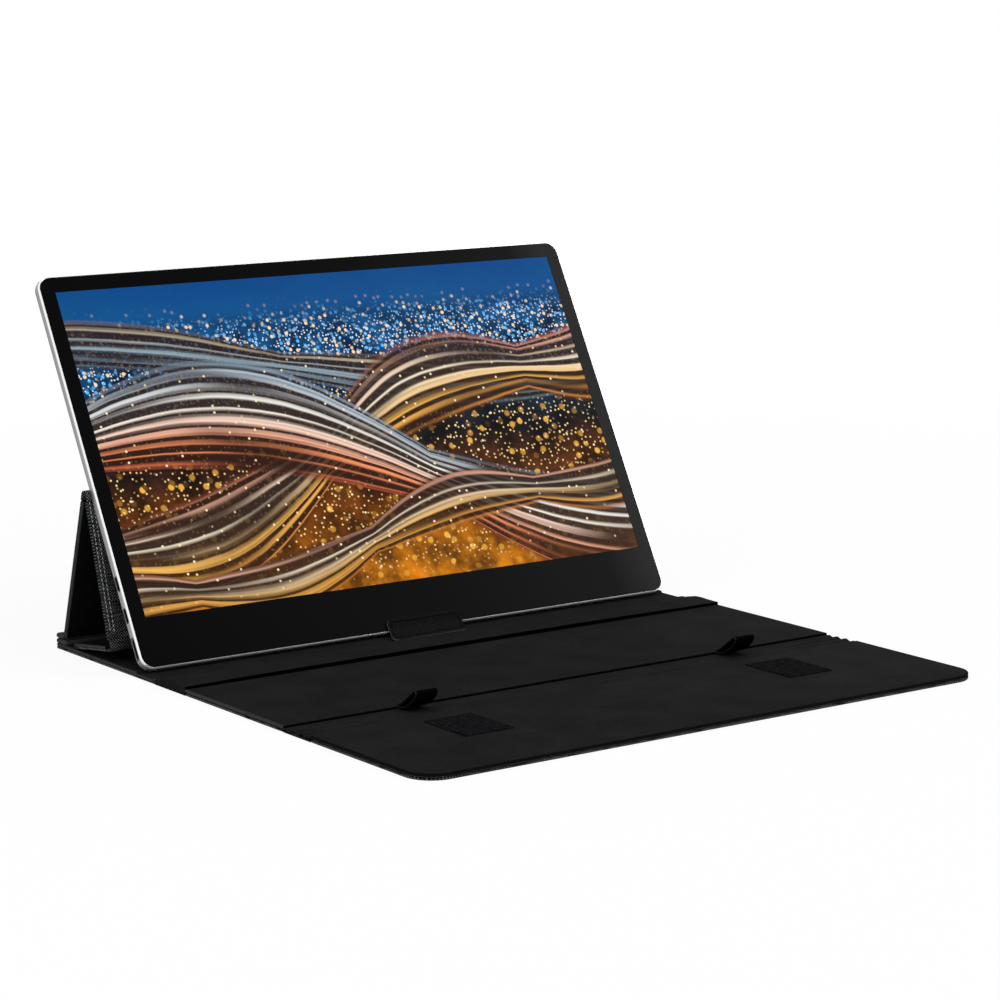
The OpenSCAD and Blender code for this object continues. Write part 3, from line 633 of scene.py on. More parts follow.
def woven_cloth(name, dark, pale):
    """Coarse plain weave: dark yarns with light flecks where the warp comes up."""
    s = Shader(name, dark, 0.85, specular=0.01)
    u, v = s.uv()
    wave = math.pi / (cloth().weave * MM)
    warp, weft = (s.math("SINE", s.times(x, wave)) for x in (u, v))
    over = s.times(warp, weft)
    along, across = 90, 1300
    warp_fibre = s.streaks((u, along), (v, across))
    weft_fibre = s.streaks((u, across), (v, along))
    warp_fleck = s.times(s.span(over, 0.24, 0.80), s.span(warp_fibre, 0.34, 0.58))
    weft_fleck = s.times(s.span(s.times(over, -1.0), 0.45, 0.95), s.span(weft_fibre, 0.54, 0.72))
    s.set("Base Color", s.mix(s.math("MAXIMUM", warp_fleck, s.times(weft_fleck, 0.4)), dark, pale))
    relief = s.plus(s.times(s.absolute(warp), s.absolute(weft)), s.times(over, 0.4))
    s.bump(relief, 0.7, 0.25 * MM)
    return s.mat


def lining_cloth(name, share):
    """Brushed lining: short fibres, faint mottling, pale specks; share is its part of the lining's colour,
    and a share below 1 paints shade.
    """
    color = toned(finish("lining"), share)
    s = Shader(name, color, 0.92, specular=0.015)
    u, v = s.uv()
    flat = s.combine(u, v)
    cloud = s.noise(38, 3, 0.55, flat)
    fibre = s.noise(2600, 2, 0.6, flat)
    brush = s.streaks((u, 900), (v, 260), rough=0.5)
    tone = s.plus(s.times(cloud, 0.5), s.plus(s.times(fibre, 0.35), s.times(brush, 0.3)))
    base = s.mix(s.span(tone, 0.38, 0.78), toned(color, 0.74), toned(color, 1.28))
    specks = s.span(s.noise(1150, 0, 0.5, flat), 0.79, 0.84)
    s.set("Base Color", s.mix(s.times(specks, 0.5 * share), base, finish("lint")))
    waves = s.bump(s.noise(55, 2, 0.5, flat), 0.22, 1.2 * MM)
    s.bump(s.plus(s.times(fibre, 0.6), s.times(brush, 0.4)), 0.35, 0.18 * MM, waves)
    return s.mat


def leather():
    """Fine grained leather with a slightly polished surface."""
    color = finish("leather")
    s = Shader("tab leather", color, 0.62, specular=0.02)
    flat = s.combine(*s.uv())
    cell = s.node("ShaderNodeTexVoronoi", feature="DISTANCE_TO_EDGE")
    s.put(cell.inputs["Vector"], flat)
    s.put(cell.inputs["Scale"], 1100)
    grain = s.span(cell.outputs["Distance"], 0.0, 0.22)
    s.set("Base Color", s.mix(grain, toned(color, 0.45), toned(color, 1.5)))
    s.set("Roughness", s.plus(0.5, s.times(s.noise(300, 2, 0.5, flat), 0.22)))
    s.bump(s.plus(grain, s.times(s.noise(220, 2, 0.5, flat), 0.8)), 0.55, 0.22 * MM)
    return s.mat


def ribbon():
    """Grosgrain ribbon: fine ribs across its length and a firmer selvedge."""
    color = finish("ribbon")
    s = Shader("grosgrain ribbon", color, 0.66, specular=0.0)
    u, v = s.uv()
    rib_pitch = 0.75 * MM
    rib = s.absolute(s.math("SINE", s.times(v, math.pi / rib_pitch)))
    selvedge = s.span(s.absolute(u), 6.2 * MM, 6.9 * MM)
    base = s.mix(rib, toned(color, 0.5), toned(color, 1.7))
    s.set("Base Color", s.mix(s.times(selvedge, 0.7), base, finish("selvedge")))
    s.bump(rib, 0.6, 0.2 * MM)
    return s.mat


def hooks():
    """Stiff hook pad: rough dark loops with bluish glints."""
    color = finish("hooks")
    s = Shader("hook pad", color, 0.85, specular=0.0)
    flat = s.combine(*s.uv())
    level = s.plus(s.times(s.noise(1050, 2, 0.75, flat), 0.75), s.times(s.noise(300, 2, 0.6, flat), 0.25))
    s.set("Base Color", s.ramp(level, (0.36, toned(color, 0.18)), (0.50, color), (0.62, toned(color, 2.8))))
    s.bump(level, 0.9, 0.6 * MM)
    return s.mat


def thread(name, color, specular=0.3):
    """Twisted sewing thread."""
    s = Shader(name, color, 0.75, specular=specular)
    twist = s.noise(2600, 1, 0.5)
    s.set("Base Color", s.mix(twist, toned(color, 0.6), toned(color, 1.35)))
    s.bump(twist, 0.4, 0.1 * MM)
    return s.mat


# ---- The monitor's finishes ----

def frame_metal():
    """Satin anodised metal with a polished bevel next to the glass, a painted highlight in a band beside the
    bevel, a nearly matte foot and lower edge that show bright as painted highlight, and near-black painted
    shade inside the left side's openings.
    """
    color = finish("metal")
    s = Shader("frame metal", color, 0.34, metallic=1.0)
    depth = s.dot(OUT, SEAT.dot(OUT))
    height = s.dot(UP, SEAT.dot(UP))
    inward = s.dot(ACROSS, low("monitor_frame").x)
    brushed = s.streaks((s.dot(ACROSS), 60), (s.dot(UP), 60), (depth, 9000))
    # Painted highlight: a lighter band along the side, just behind the polished bevel.
    painted_highlight_line = s.window(depth, 3.3 * MM, 3.5 * MM, 4.3 * MM, 4.45 * MM)
    side = s.mix(brushed, toned(color, 0.88), toned(color, 1.12))
    side = s.mix(s.times(painted_highlight_line, 0.55), side, toned(color, 1.7))
    bevel = s.span(depth, 4.42 * MM, 4.58 * MM)
    # Painted highlight: the bevel's foot and the frame's lowest few millimetres are made nearly matte, so
    # that they show bright where polished metal would mirror the dark cloth.
    foot = s.times(bevel, s.rest(s.span(height, 1.1 * MM, 1.8 * MM)))
    corner = s.times(s.rest(s.span(height, 3 * MM, 9 * MM)), 0.7)
    s.set("Metallic", s.rest(s.times(s.math("MAXIMUM", foot, corner), 0.9)))
    # Painted shade: the frame is near black inside the left side's openings.
    painted_opening_shade = s.times(s.span(inward, 0.3 * MM, 0.6 * MM), s.window(height, 4 * MM, 6 * MM, 70 * MM, 74 * MM),
                      s.window(depth, 0.8 * MM, 1.0 * MM, 4.0 * MM, 4.2 * MM))
    s.set("Base Color", s.mix(painted_opening_shade, s.mix(bevel, side, finish("polish")), (0.004, 0.004, 0.004)))
    s.set("Roughness", s.minus(s.plus(0.33, s.times(brushed, 0.12)), s.times(bevel, 0.2)))
    s.bump(brushed, 0.12, 0.03 * MM)
    return s.mat


def plain(name, color, rough, metallic=0.0, grain=900.0, spread=0.18, bump=0.15, specular=0.5):
    """A moulded, painted or plated finish with a little life in its tone and gloss."""
    s = Shader(name, color, rough, metallic, specular)
    fine = s.noise(grain, 3, 0.6)
    wide = s.noise(60, 2, 0.5)
    mottle = s.times(s.plus(fine, wide), 0.5)
    s.set("Base Color", s.mix(mottle, toned(color, 1 - spread), toned(color, 1 + spread)))
    s.set("Roughness", s.plus(rough - 0.06, s.times(fine, 0.12)))
    s.bump(fine, bump, 0.06 * MM)
    return s.mat


def port_shell():
    """Dark nickel port shell, unlit inside."""
    color = (0.09, 0.09, 0.10)
    s = Shader("dark plated shells", color, 0.32, metallic=1.0)
    inside = s.span(s.dot(ACROSS, low("monitor_frame").x), 0.6 * MM, 0.9 * MM)
    fine = s.noise(900, 3, 0.6)
    plated = s.mix(fine, toned(color, 0.85), toned(color, 1.15))
    s.set("Base Color", s.mix(inside, plated, (0.002, 0.002, 0.002)))
    s.set("Roughness", s.plus(0.28, s.times(fine, 0.12)))
    s.bump(fine, 0.15, 0.06 * MM)
    return s.mat


def circuit_board():
    """Green solder mask with copper tracks under it and pale pads."""
    s = Shader("circuit board", (0.012, 0.085, 0.035), 0.38)
    track = s.node("ShaderNodeTexBrick", offset=0.5)
    for key, value in {"Vector": s.combine(s.dot(ACROSS), s.dot(UP)), "Scale": 160.0, "Mortar Size": 0.03,
                       "Color1": (0.010, 0.075, 0.030, 1), "Color2": (0.014, 0.095, 0.040, 1),
                       "Mortar": (0.05, 0.16, 0.06, 1)}.items():
        s.put(track.inputs[key], value)
    pad = s.span(s.noise(420, 0, 0.5), 0.70, 0.72)
    s.set("Base Color", s.mix(pad, track.outputs["Color"], (0.55, 0.52, 0.42)))
    s.bump(track.outputs["Fac"], 0.2, 0.05 * MM)
    return s.mat


# ---- The picture on the screen ----

PICTURE_SHAPE = 1.78    # width over height, for patterns that aren't stretched
SKY = ((0.0, (0.85, 0.27, 0.004)), (0.22, (0.24, 0.060, 0.002)), (0.45, (0.012, 0.009, 0.010)),
       (0.62, (0.004, 0.030, 0.070)), (0.80, (0.006, 0.105, 0.29)), (1.0, (0.003, 0.064, 0.25)))
WARM = ((0.0, (0.75, 0.20, 0.02)), (0.35, (1.0, 0.55, 0.12)), (0.6, (1.0, 0.90, 0.70)),
        (1.0, (0.65, 0.10, 0.03)))
COOL = ((0.0, (0.55, 0.07, 0.03)), (0.3, (1.0, 0.32, 0.14)), (0.58, (1.0, 0.93, 0.82)),
        (1.0, (0.25, 0.42, 0.60)))
STEEL = ((0.0, (0.08, 0.20, 0.30)), (0.5, (0.55, 0.75, 0.85)), (1.0, (0.95, 0.60, 0.20)))

# Round lights behind the trails: scale, size, share left out, foot and top of their band, colour, gain.
FAR_LIGHTS = (
    (48, 0.34, 0.40, 0.64, 0.86, (0.12, 0.50, 1.0), 1.4),
    (85, 0.28, 0.30, 0.60, 0.84, (0.85, 0.90, 1.0), 1.7),
    (38, 0.26, 0.50, 0.62, 0.88, (1.0, 0.74, 0.45), 1.8),
    (24, 0.30, 0.40, 0.0, 0.50, (1.0, 0.50, 0.06), 0.95),
    (60, 0.24, 0.35, 0.05, 0.66, (1.0, 0.72, 0.28), 1.4),
)
# Sheaves of trails: height at the left, rise, swing, turns, phase, half width, lines, colours, gain.
TRAILS = (
    (0.80, -0.22, 0.035, 0.8, 1.2, 0.045, 9.0, STEEL, 0.55),
    (0.20, 0.50, 0.09, 1.1, 3.4, 0.085, 13.0, WARM, 0.95),
    (0.52, -0.34, 0.14, 0.75, 0.2, 0.105, 17.0, COOL, 1.0),
    (0.02, 0.26, 0.05, 1.4, 2.2, 0.050, 8.0, WARM, 0.8),
)
NEAR_LIGHTS = ((34, 0.16, 0.80, 0.04, 0.72, (1.0, 0.82, 0.50), 1.6),)


class ScreenShader(Shader):
    """The front glass; u and v run over its lit picture from 0 to 1."""

    def __init__(self, name, color, rough, specular):
        super().__init__(name, color, rough, specular=specular)
        lit_w = face().lit_w * MM
        up = self.dot(UP, SEAT.dot(UP) + face().rim * MM)
        self.u = self.math("DIVIDE", self.plus(self.dot(ACROSS), lit_w / 2), lit_w)
        self.v = self.math("DIVIDE", self.minus(up, face().lit_foot * MM), face().lit_h * MM)
        self.flat = self.combine(self.times(self.u, PICTURE_SHAPE), self.v)
        self.haze = self.noise(2.2, 4, 0.55, self.flat)

    def around(self, value, spread):
        """A noise value turned into a shift of up to half of spread either way."""
        return self.times(self.minus(value, 0.5), spread)

    def sky(self):
        """Amber below and deep blue above, in drifts that fade out towards a clear top."""
        sky = self.ramp(self.plus(self.v, self.around(self.haze, 0.35)), *SKY)
        drifts = self.span(self.noise(9.0, 4, 0.6, self.flat), 0.32, 0.72)
        clear = self.math("MAXIMUM", drifts, self.span(self.v, 0.80, 0.92))
        return self.mix(clear, self.mix(1.0, sky, (0.14, 0.14, 0.18), "MULTIPLY"), sky)

    def trail(self, picture, base, rise, swing, turns, phase, wide, count, colors, gain):
        """Adds one sheaf of fine light lines that sweeps across the picture."""
        u, v = self.u, self.v
        bend = self.math("SINE", self.plus(self.times(u, turns * 2 * math.pi), phase))
        centre = self.plus(base, self.times(u, rise), self.times(bend, swing), self.around(self.haze, 0.02))
        spread = self.plus(wide, self.times(self.absolute(bend), wide * 0.9))
        off = self.math("DIVIDE", self.minus(v, centre), spread)
        inside = self.rest(self.span(self.absolute(off), 0.72, 1.0))
        jitter = self.streaks((off, count * 0.5), (u, 0.5), detail=1, rough=0.5)
        line = self.absolute(self.math("SINE", self.plus(self.times(off, count), self.times(jitter, 5.0))))
        broken = self.noise(1.0, 2, 0.5, self.combine(self.times(off, 2.5), self.times(u, 2.2), base * 7.0))
        line = self.times(self.math("POWER", line, 4.6), self.span(broken, 0.30, 0.58))
        level = self.times(inside, self.plus(self.times(line, 0.985), 0.015))
        tint = self.ramp(self.plus(self.times(off, 0.5), 0.5), *colors)
        body = self.mix(self.times(inside, 0.92), picture, (0.020, 0.006, 0.003))
        return self.mix(self.math("MULTIPLY", level, gain, clamp=True), body, tint)

    def lights(self, picture, scale, across, left_out, low_v, high_v, color, gain):
        """Adds soft round lights scattered over a band of the picture."""
        fade = 0.06
        dots = self.node("ShaderNodeTexVoronoi", voronoi_dimensions="2D")
        self.put(dots.inputs["Vector"], self.flat)
        self.put(dots.inputs["Scale"], scale)
        disc = self.rest(self.span(dots.outputs["Distance"], across * 0.55, across))
        choice, glow, _ = self.parts(dots.outputs["Color"])
        band = self.window(self.v, low_v - fade, low_v + fade, high_v - fade, high_v + fade)
        level = self.times(disc, self.math("GREATER_THAN", choice, left_out), band, self.times(glow, gain))
        return self.mix(level, picture, color)

    def lit(self):
        """1 inside the lit picture."""
        inside = [self.times(self.math("GREATER_THAN", x, 0.0), self.math("LESS_THAN", x, 1.0))
                  for x in (self.u, self.v)]
        return self.times(*inside)


def screen_glass():
    """Front glass: black printed border with a painted reflection towards its right and, inside it, a glowing
    abstract wallpaper of light trails.
    """
    black = finish("glass")
    s = ScreenShader("front glass", black, 0.3, 0.02)
    picture = s.sky()
    for light in FAR_LIGHTS:
        picture = s.lights(picture, *light)
    for trail in TRAILS:
        picture = s.trail(picture, *trail)
    for light in NEAR_LIGHTS:
        picture = s.lights(picture, *light)
    s.set("Emission Color", s.mix(s.lit(), (0.0, 0.0, 0.0), picture))
    s.set("Emission Strength", 1.0)
    edge = s.rest(s.times(s.window(s.u, -0.0017, -0.0002, 1.0002, 1.0017),
                          s.window(s.v, -0.0030, -0.0004, 1.0004, 1.0030)))
    # Painted reflection: the border brightens towards its right. The smear noise breaks it up and also varies
    # the roughness.
    smear_and_reflection_noise = s.noise(14, 3, 0.5)
    painted_reflection = s.ramp(s.plus(s.u, s.around(smear_and_reflection_noise, 0.12)), (0.0, black), (0.55, black),
                   (0.93, (0.0070, 0.0071, 0.0073)), (1.0, (0.027, 0.027, 0.0277)))
    s.set("Base Color", s.mix(edge, (0.0012, 0.0013, 0.0015), s.mix(s.times(smear_and_reflection_noise, 0.5), painted_reflection, black)))
    s.set("Roughness", s.plus(0.24, s.times(smear_and_reflection_noise, 0.12)))
    return s.mat


# ---- All finishes ----

M = {}


def make_materials():
    M.update({
        "woven": woven_cloth("woven cloth", finish("woven"), finish("fleck")),
        "edge": woven_cloth("turned edge", toned(finish("woven"), 14), toned(finish("fleck"), 0.35)),
        # Painted shade: a darker copy of the turned edge cloth, for the front panel's binding.
        "painted shade edge": woven_cloth("dark turned edge", toned(finish("woven"), 1.6),
                                 toned(finish("fleck"), 0.04)),
        # Painted shade: a near-black finish for cloth faces that lie in shade, at open panel ends and under
        # the spine's crest.
        "seam": plain("shadowed seam", (0.0010, 0.0010, 0.0011), 0.95, grain=1500, specular=0.0),
        "leather edge": plain("cut leather edge", (0.085, 0.085, 0.086), 0.8, grain=1800, specular=0.0),
        "ribbon edge": plain("ribbon selvedge", (0.008, 0.008, 0.009), 0.8, grain=1800, specular=0.0),
        "lining": lining_cloth("brushed lining", 1.0),
        # Painted shade: a darker copy of the lining, for the panels inside the stand.
        "inner lining": lining_cloth("stand lining", 0.4),
        "leather": leather(),
        "ribbon": ribbon(),
        "hooks": hooks(),
        "thread": thread("hem thread", finish("thread")),
        "dark thread": thread("dark thread", (0.0006, 0.0006, 0.0007), 0.0),
        "frame": frame_metal(),
        "glass": screen_glass(),
        "pcb": circuit_board(),
        "rear": plain("coated rear cover", (0.030, 0.030, 0.032), 0.48, grain=1600, spread=0.2, bump=0.5),
        "screw": plain("black screws", (0.02, 0.02, 0.022), 0.35, 0.9),
        "rubber tape": plain("black tape", (0.012, 0.012, 0.012), 0.8),
        "cell": plain("liquid crystal cell", (0.02, 0.022, 0.03), 0.12),
        "film": plain("diffusing films", (0.80, 0.80, 0.78), 0.5, spread=0.04),
        "acrylic": plain("light guide", (0.74, 0.84, 0.86), 0.15, spread=0.05),
        "reflector": plain("reflector", (0.86, 0.86, 0.86), 0.3, spread=0.03),
        "steel": plain("steel sheet", (0.52, 0.53, 0.55), 0.38, 1.0),
        "led": plain("light strip", (0.75, 0.68, 0.30), 0.4),
        "flex": plain("flat cable", (0.48, 0.24, 0.04), 0.45),
        "chip": plain("chip bodies", (0.016, 0.016, 0.018), 0.55),
        "plated": port_shell(),
        "plastic": plain("black plastic", (0.014, 0.014, 0.015), 0.5),
        "button": plain("anodised buttons", (0.42, 0.41, 0.42), 0.36, 1.0),
        "board": plain("grey board", (0.20, 0.17, 0.13), 0.9, grain=500, spread=0.25, bump=0.4),
        "magnet": plain("nickel plate", (0.62, 0.60, 0.56), 0.22, 1.0),
    })


def dress(obj, key):
    obj.data.materials.clear()
    obj.data.materials.append(M[key])


NODE_FINISH = {
    "monitor_frame": "frame", "rear_cover": "rear", "cover_screws": "screw", "front_glass": "glass",
    "glass_tape": "rubber tape", "lcd_cell": "cell", "optical_films": "film", "light_guide": "acrylic",
    "reflector_sheet": "reflector", "led_bar": "led", "backlight_tray": "steel", "driver_board": "pcb",
    "display_cable": "flex", "main_board": "pcb", "board_chips": "chip", "usb_c_port_upper": "plated",
    "usb_c_port_lower": "plated", "mini_hdmi_port": "plated", "headphone_jack": "plastic",
    "speaker_left": "plastic", "speaker_right": "plastic", "button_board": "pcb", "power_button": "button",
    "menu_rocker": "button",
}


def node_finish(name):
    """The finish of a solid; the cover's boards and magnets go by the end of their names."""
    if name in NODE_FINISH:
        return NODE_FINISH[name]
    return "board" if name.endswith("_board") else "magnet" if name.endswith("_magnets") else "lining"


# ---- Operators: one for each group of pieces ----

class MONITOR_OT_finishes(bpy.types.Operator):
    """Gives every solid of the monitor and of the cover's inside its finish"""

    bl_idname = "monitor.finishes"
    bl_label = "Solid finishes"

    def execute(self, context):
        make_materials()
        for name, obj in frame["nodes"].items():
            dress(obj, node_finish(name))
        return {"FINISHED"}


def panel(name, matrix, length, t, front_r=None, open_start=True, open_end=True, inside="lining", rim="edge"):
    """One stiff panel: woven cover below, bound edge above it, lining let into the edge.

    An open end runs into a fold and is cut off square; front_r rounds the far end's corners more."""
    c = cloth()
    middle, slit, round_r, inlay = t / 2, c.slit * MM, c.edge_r * MM, c.inlay * MM
    spare, sunk, lining_round = 4 * MM, 0.02 * MM, 0.24 * MM
    r_start, r_end = c.corner_r, front_r or c.corner_r
    y0 = -spare if open_start else 0.0
    y1 = length + spare if open_end else length
    cover = slab(name + "_cover", COVER_W, length, 0.0, middle - slit / 2, r_start * MM, r_end * MM, round_r)
    edge = slab(name + "_binding", COVER_W, y1 - y0, middle + slit / 2, t, r_start * MM, r_end * MM, round_r,
                y0, dish=(c.lip * MM, inlay))
    cut_ends(edge, 0.0 if open_start else None, length if open_end else None)
    side = (c.lip + c.groove) * MM
    a = 0.0 if open_start else side
    b = length if open_end else length - side
    r0 = 0.0 if open_start else (r_start - c.lip) * MM
    r1 = 0.0 if open_end else (r_end - c.lip) * MM
    lining = slab(name + "_inner", COVER_W - 2 * side, b - a, t - inlay, t - sunk, r0, r1, lining_round, a)
    for obj, key, slot in ((cover, "woven", "woven"), (edge, rim, "woven"), (lining, inside, "lining")):
        dress(obj, key)
        darken_ends(obj, ([0.0] if open_start else []) + ([length] if open_end else []))
        smooth(obj, 35)
        place(obj, matrix)
        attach(obj, name)
    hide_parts(name + "_skin")
    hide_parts(name + "_lining")
    return cover, edge, lining


def flat_matrix(y_edge, forward):
    """A panel that lies on the table: from y_edge to the rear, or forward."""
    m = Matrix.Translation((0, y_edge, 0))
    return m @ Matrix.Rotation(math.pi, 4, "Z") if forward else m


class MONITOR_OT_panels(bpy.types.Operator):
    """Makes the six stiff panels of the cover with woven outside, bound edges and lining"""

    bl_idname = "monitor.panels"
    bl_label = "Cover panels"

    def execute(self, context):
        front, rear = low("base_skin").y, high("base_skin").y
        for obj in panel("base", flat_matrix(front, False), rear - front, BASE_T, open_end=False):
            self.seat_groove(obj, front)
        front, rear = low("middle_skin").y, high("middle_skin").y
        panel("middle", flat_matrix(rear, True), rear - front, FRONT_T)
        front, rear = low("front_skin").y, high("front_skin").y
        # The front panel's binding takes the darker copy of the edge cloth, painted shade on its edge.
        panel("front", flat_matrix(rear, True), rear - front, FRONT_T, cloth().front_r, open_end=False,
              rim="painted shade edge")
        fold, tail = cloth().fold * MM, cloth().tail * MM
        (rear_at, rear_l, _), (front_at, front_l, _), (flap_at, flap_l, _) = leg_axes().values()
        for name, at, start, length, more in (
                ("rear_leg", rear_at, -tail, rear_l + tail - fold, {"open_start": False}),
                ("front_leg", front_at, fold, front_l - 2 * fold, {"rim": "woven"}),
                ("flap", flap_at, fold, flap_l - fold, {"open_end": False})):
            # The stand's panels take the darker lining, painted shade inside the stand.
            panel(name, at @ Matrix.Translation((0, start, 0)), length, BASE_T, inside="inner lining", **more)
        return {"FINISHED"}

    def seat_groove(self, obj, front):
        """Presses the monitor's seat into the base; the monitor stands a hair above the groove's floor."""
        past_seat, clearance = 1.4 * MM, 0.05 * MM
        sink(obj, front + cloth().seat_from * MM, SEAT.y + past_seat, 1 - (SEAT.z - clearance) / BASE_T)


def arc_path(centre, r, a0, a1, tail, steps=10):
    """A band round a fold's line, with a straight tail on each side; angles from +Y towards +Z."""
    def at(a):
        return Vector((math.cos(a), math.sin(a)))
    turn = [centre + r * at(a0 + (a1 - a0) * i / steps) for i in range(steps + 1)]
    start = turn[0] + tail * Vector((math.sin(a0), -math.cos(a0)))
    end = turn[-1] + tail * Vector((-math.sin(a1), math.cos(a1)))
    return [tuple(p) for p in [start] + turn + [end]]


def arch_path(y_rear, y_front, crown):
    """The spine's section: flush with the base, then rising to a crest above the middle panel's edge."""
    cells, lap, clear, crest_at = 44, 0.25 * MM, 0.05 * MM, 0.45
    flush = BASE_T - 0.03 * MM
    width, step_up = y_rear - y_front, FRONT_T - BASE_T
    swell = crown - BASE_T - crest_at * step_up
    path = [(y_rear - gap, flush) for gap in (0.0, 0.35 * MM, 0.75 * MM)]
    for i in range(2, cells + 1):
        q = i / cells * (1 - lap / width)
        if q < crest_at:
            bulge = math.sin(math.pi / 2 * q / crest_at) ** 1.5
        else:
            bulge = 1 - 0.3 * (q - crest_at) / (1 - crest_at)
        path.append((y_rear - width * q, BASE_T + step_up * q + swell * bulge - clear))
    return path + [(y_front + 0.15 * MM, path[-1][1] - 0.5 * MM)]


def flat_path(y_rear, y_front, z_rear, z_front, cells):
    """A straight section from the rear to the front."""
    return [(y_rear - (y_rear - y_front) * i / cells, z_rear + (z_front - z_rear) * i / cells)
            for i in range(cells + 1)]


class MONITOR_OT_folds(bpy.types.Operator):
    """Makes the cloth that joins the panels: arch, rippled hinge, apex, foot and rear folds"""

    bl_idname = "monitor.folds"
    bl_label = "Folds"

    def execute(self, context):
        self.spine()
        self.soft_hinge()
        self.stand_folds()
        self.pleats()
        return {"FINISHED"}

    def spine(self):
        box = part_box("spine_lining")
        rear, front, crown = box[1].y, box[0].y, box[1].z
        path = arch_path(rear, front, crown)
        full_from = 0.35 * (len(path) - 1)

        def fuller(u, row):
            q = max(0.0, (row - full_from) / (len(path) - 1 - full_from))
            return cloth().spine_full * MM * q * (1 - abs(u) ** 3)

        arch = strip("spine_arch", COVER_W, path, 0.0, 90, rough=0.22 * MM, mats=("lining", "seam"),
                     lift=fuller, floor=1.3 * MM)
        # Painted shade: the arch's front wall, under its crest, takes the near-black seam finish.
        for poly in arch.data.polygons:
            if abs(poly.normal.y) > 0.7 and poly.center.y < front + 1 * MM:
                poly.material_index = 1
        turn = ("base", "middle", "middle_hinge", 5)
        self.hinge(arch, "lining", "spine_lining", turn, (rear - front) * 1.1)
        self.under("spine_cover", "spine_skin", turn, rear, front)

    def soft_hinge(self):
        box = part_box("ripple_lining")
        rear, front = box[1].y, box[0].y
        waves, height = cloth().ripples, cloth().ripple_h * MM
        cells = 18 * waves
        path = flat_path(rear, front, 2.1 * MM, FRONT_T - height - 0.1 * MM, cells)

        def ripple(u, row):
            q = row / cells
            swing = math.sin(2 * math.pi * (waves + 0.5) * q + 0.8 * noise.noise(Vector((u * 3, 0.3, 1.7))))
            fade = 0.22 + 0.78 * abs(u) ** 6
            return height * fade * math.sin(math.pi * q) ** 0.4 * swing

        soft = strip("soft_hinge", COVER_W, path, cloth().soft_t * MM, 110, rough=0.3 * MM, side=1,
                     mats=("lining",), lift=ripple)
        turn = ("middle", "front", "front_hinge", 4)
        self.hinge(soft, "lining", "ripple_lining", turn, (rear - front) * 1.05)
        self.under("soft_hinge_cover", "ripple_skin", turn, rear, front)

    def under(self, name, node, turn, rear, front):
        """The outer cloth below a hinge."""
        t = cloth().skin_t * MM
        obj = strip(name, COVER_W, flat_path(rear, front, t, t, 16), t, 20, side=1, mats=("woven",))
        self.hinge(obj, "woven", node, turn, rear - front)

    def hinge(self, obj, key, node, turn, length):
        """Bakes the cloth's placing into its mesh and hides the solid that it stands for.

        turn, meant to hold both bodies, the joint between them and how near to it the cloth turns, in
        millimetres, is not used."""
        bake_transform(obj)
        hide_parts(node)

    def stand_folds(self):
        """The cloth round the stand's apex and foot, between the slopes of the panels that meet there."""
        rear, front, flap = (slope for _, _, slope in leg_axes().values())
        leg_turn, flap_turn = math.pi - front, 1.5 * math.pi - flap
        for name, node, bodies, line, a0, a1, length in (
                ("apex_cloth", "apex_fold", ("rear_leg", "front_leg"), APEX, rear, leg_turn, 13 * MM),
                ("foot_cloth", "foot_fold", ("front_leg", "flap"), FOOT, leg_turn, flap_turn, 12 * MM)):
            path = arc_path(Vector(line.yz), BASE_T - 0.02 * MM, a0, a1, cloth().fold * MM)
            obj = strip(name, COVER_W, path, cloth().fold_t * MM, 40, rough=0.1 * MM, side=1,
                        mats=("woven", "edge"))
            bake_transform(obj)
            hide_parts(node)

    def pleats(self):
        """The folded hem in front of the stand and the pleat behind it."""
        inset, round_r, edge_r, least = 0.08 * MM, 1.2 * MM, 1.25 * MM, 12.5 * MM
        for name, node, gap in (("hem_pleat", "hem_strip", 0.0), ("rear_pleat", "rear_fold", 0.9 * MM)):
            lo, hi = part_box(node)
            obj = slab(name, COVER_W, hi.y - lo.y - gap, lo.z + inset, hi.z - inset, round_r, round_r, edge_r)
            dress(obj, "edge")
            smooth(obj)
            place(obj, Matrix.Translation((0, lo.y + gap, 0)))
            if node == "rear_fold":
                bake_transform(obj)
            else:
                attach(obj, "base")
            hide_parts(node)


class MONITOR_OT_stitching(bpy.types.Operator):
    """Sews two rows of stitches down both sides of the stand's outer panels"""

    bl_idname = "monitor.stitching"
    bl_label = "Hem stitches"

    def execute(self, context):
        c = trim()
        fold, tail_end = cloth().fold * MM, 1.5 * MM
        legs = leg_axes()
        size = (c.thread * MM, c.stitch_l * MM)
        pitch = (c.stitch_l + c.stitch_gap) * MM
        for leg, start in (("front", fold), ("rear", tail_end)):
            mat, length, _ = legs[leg]
            for side, way in (("left", -1), ("right", 1)):
                for row in (0, 1):
                    x = way * (COVER_W / 2 - (c.hem_in + row * c.hem_step) * MM)
                    first = (x, start + pitch * (0.5 + 0.3 * row), 0.0)
                    obj = straight_row(f"{leg}_leg_stitches_{side}_{row + 1}", first,
                                       length - fold - start - pitch, pitch, size, mat)
                    dress(obj, "thread")
                    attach(obj, leg + "_leg")
        return {"FINISHED"}


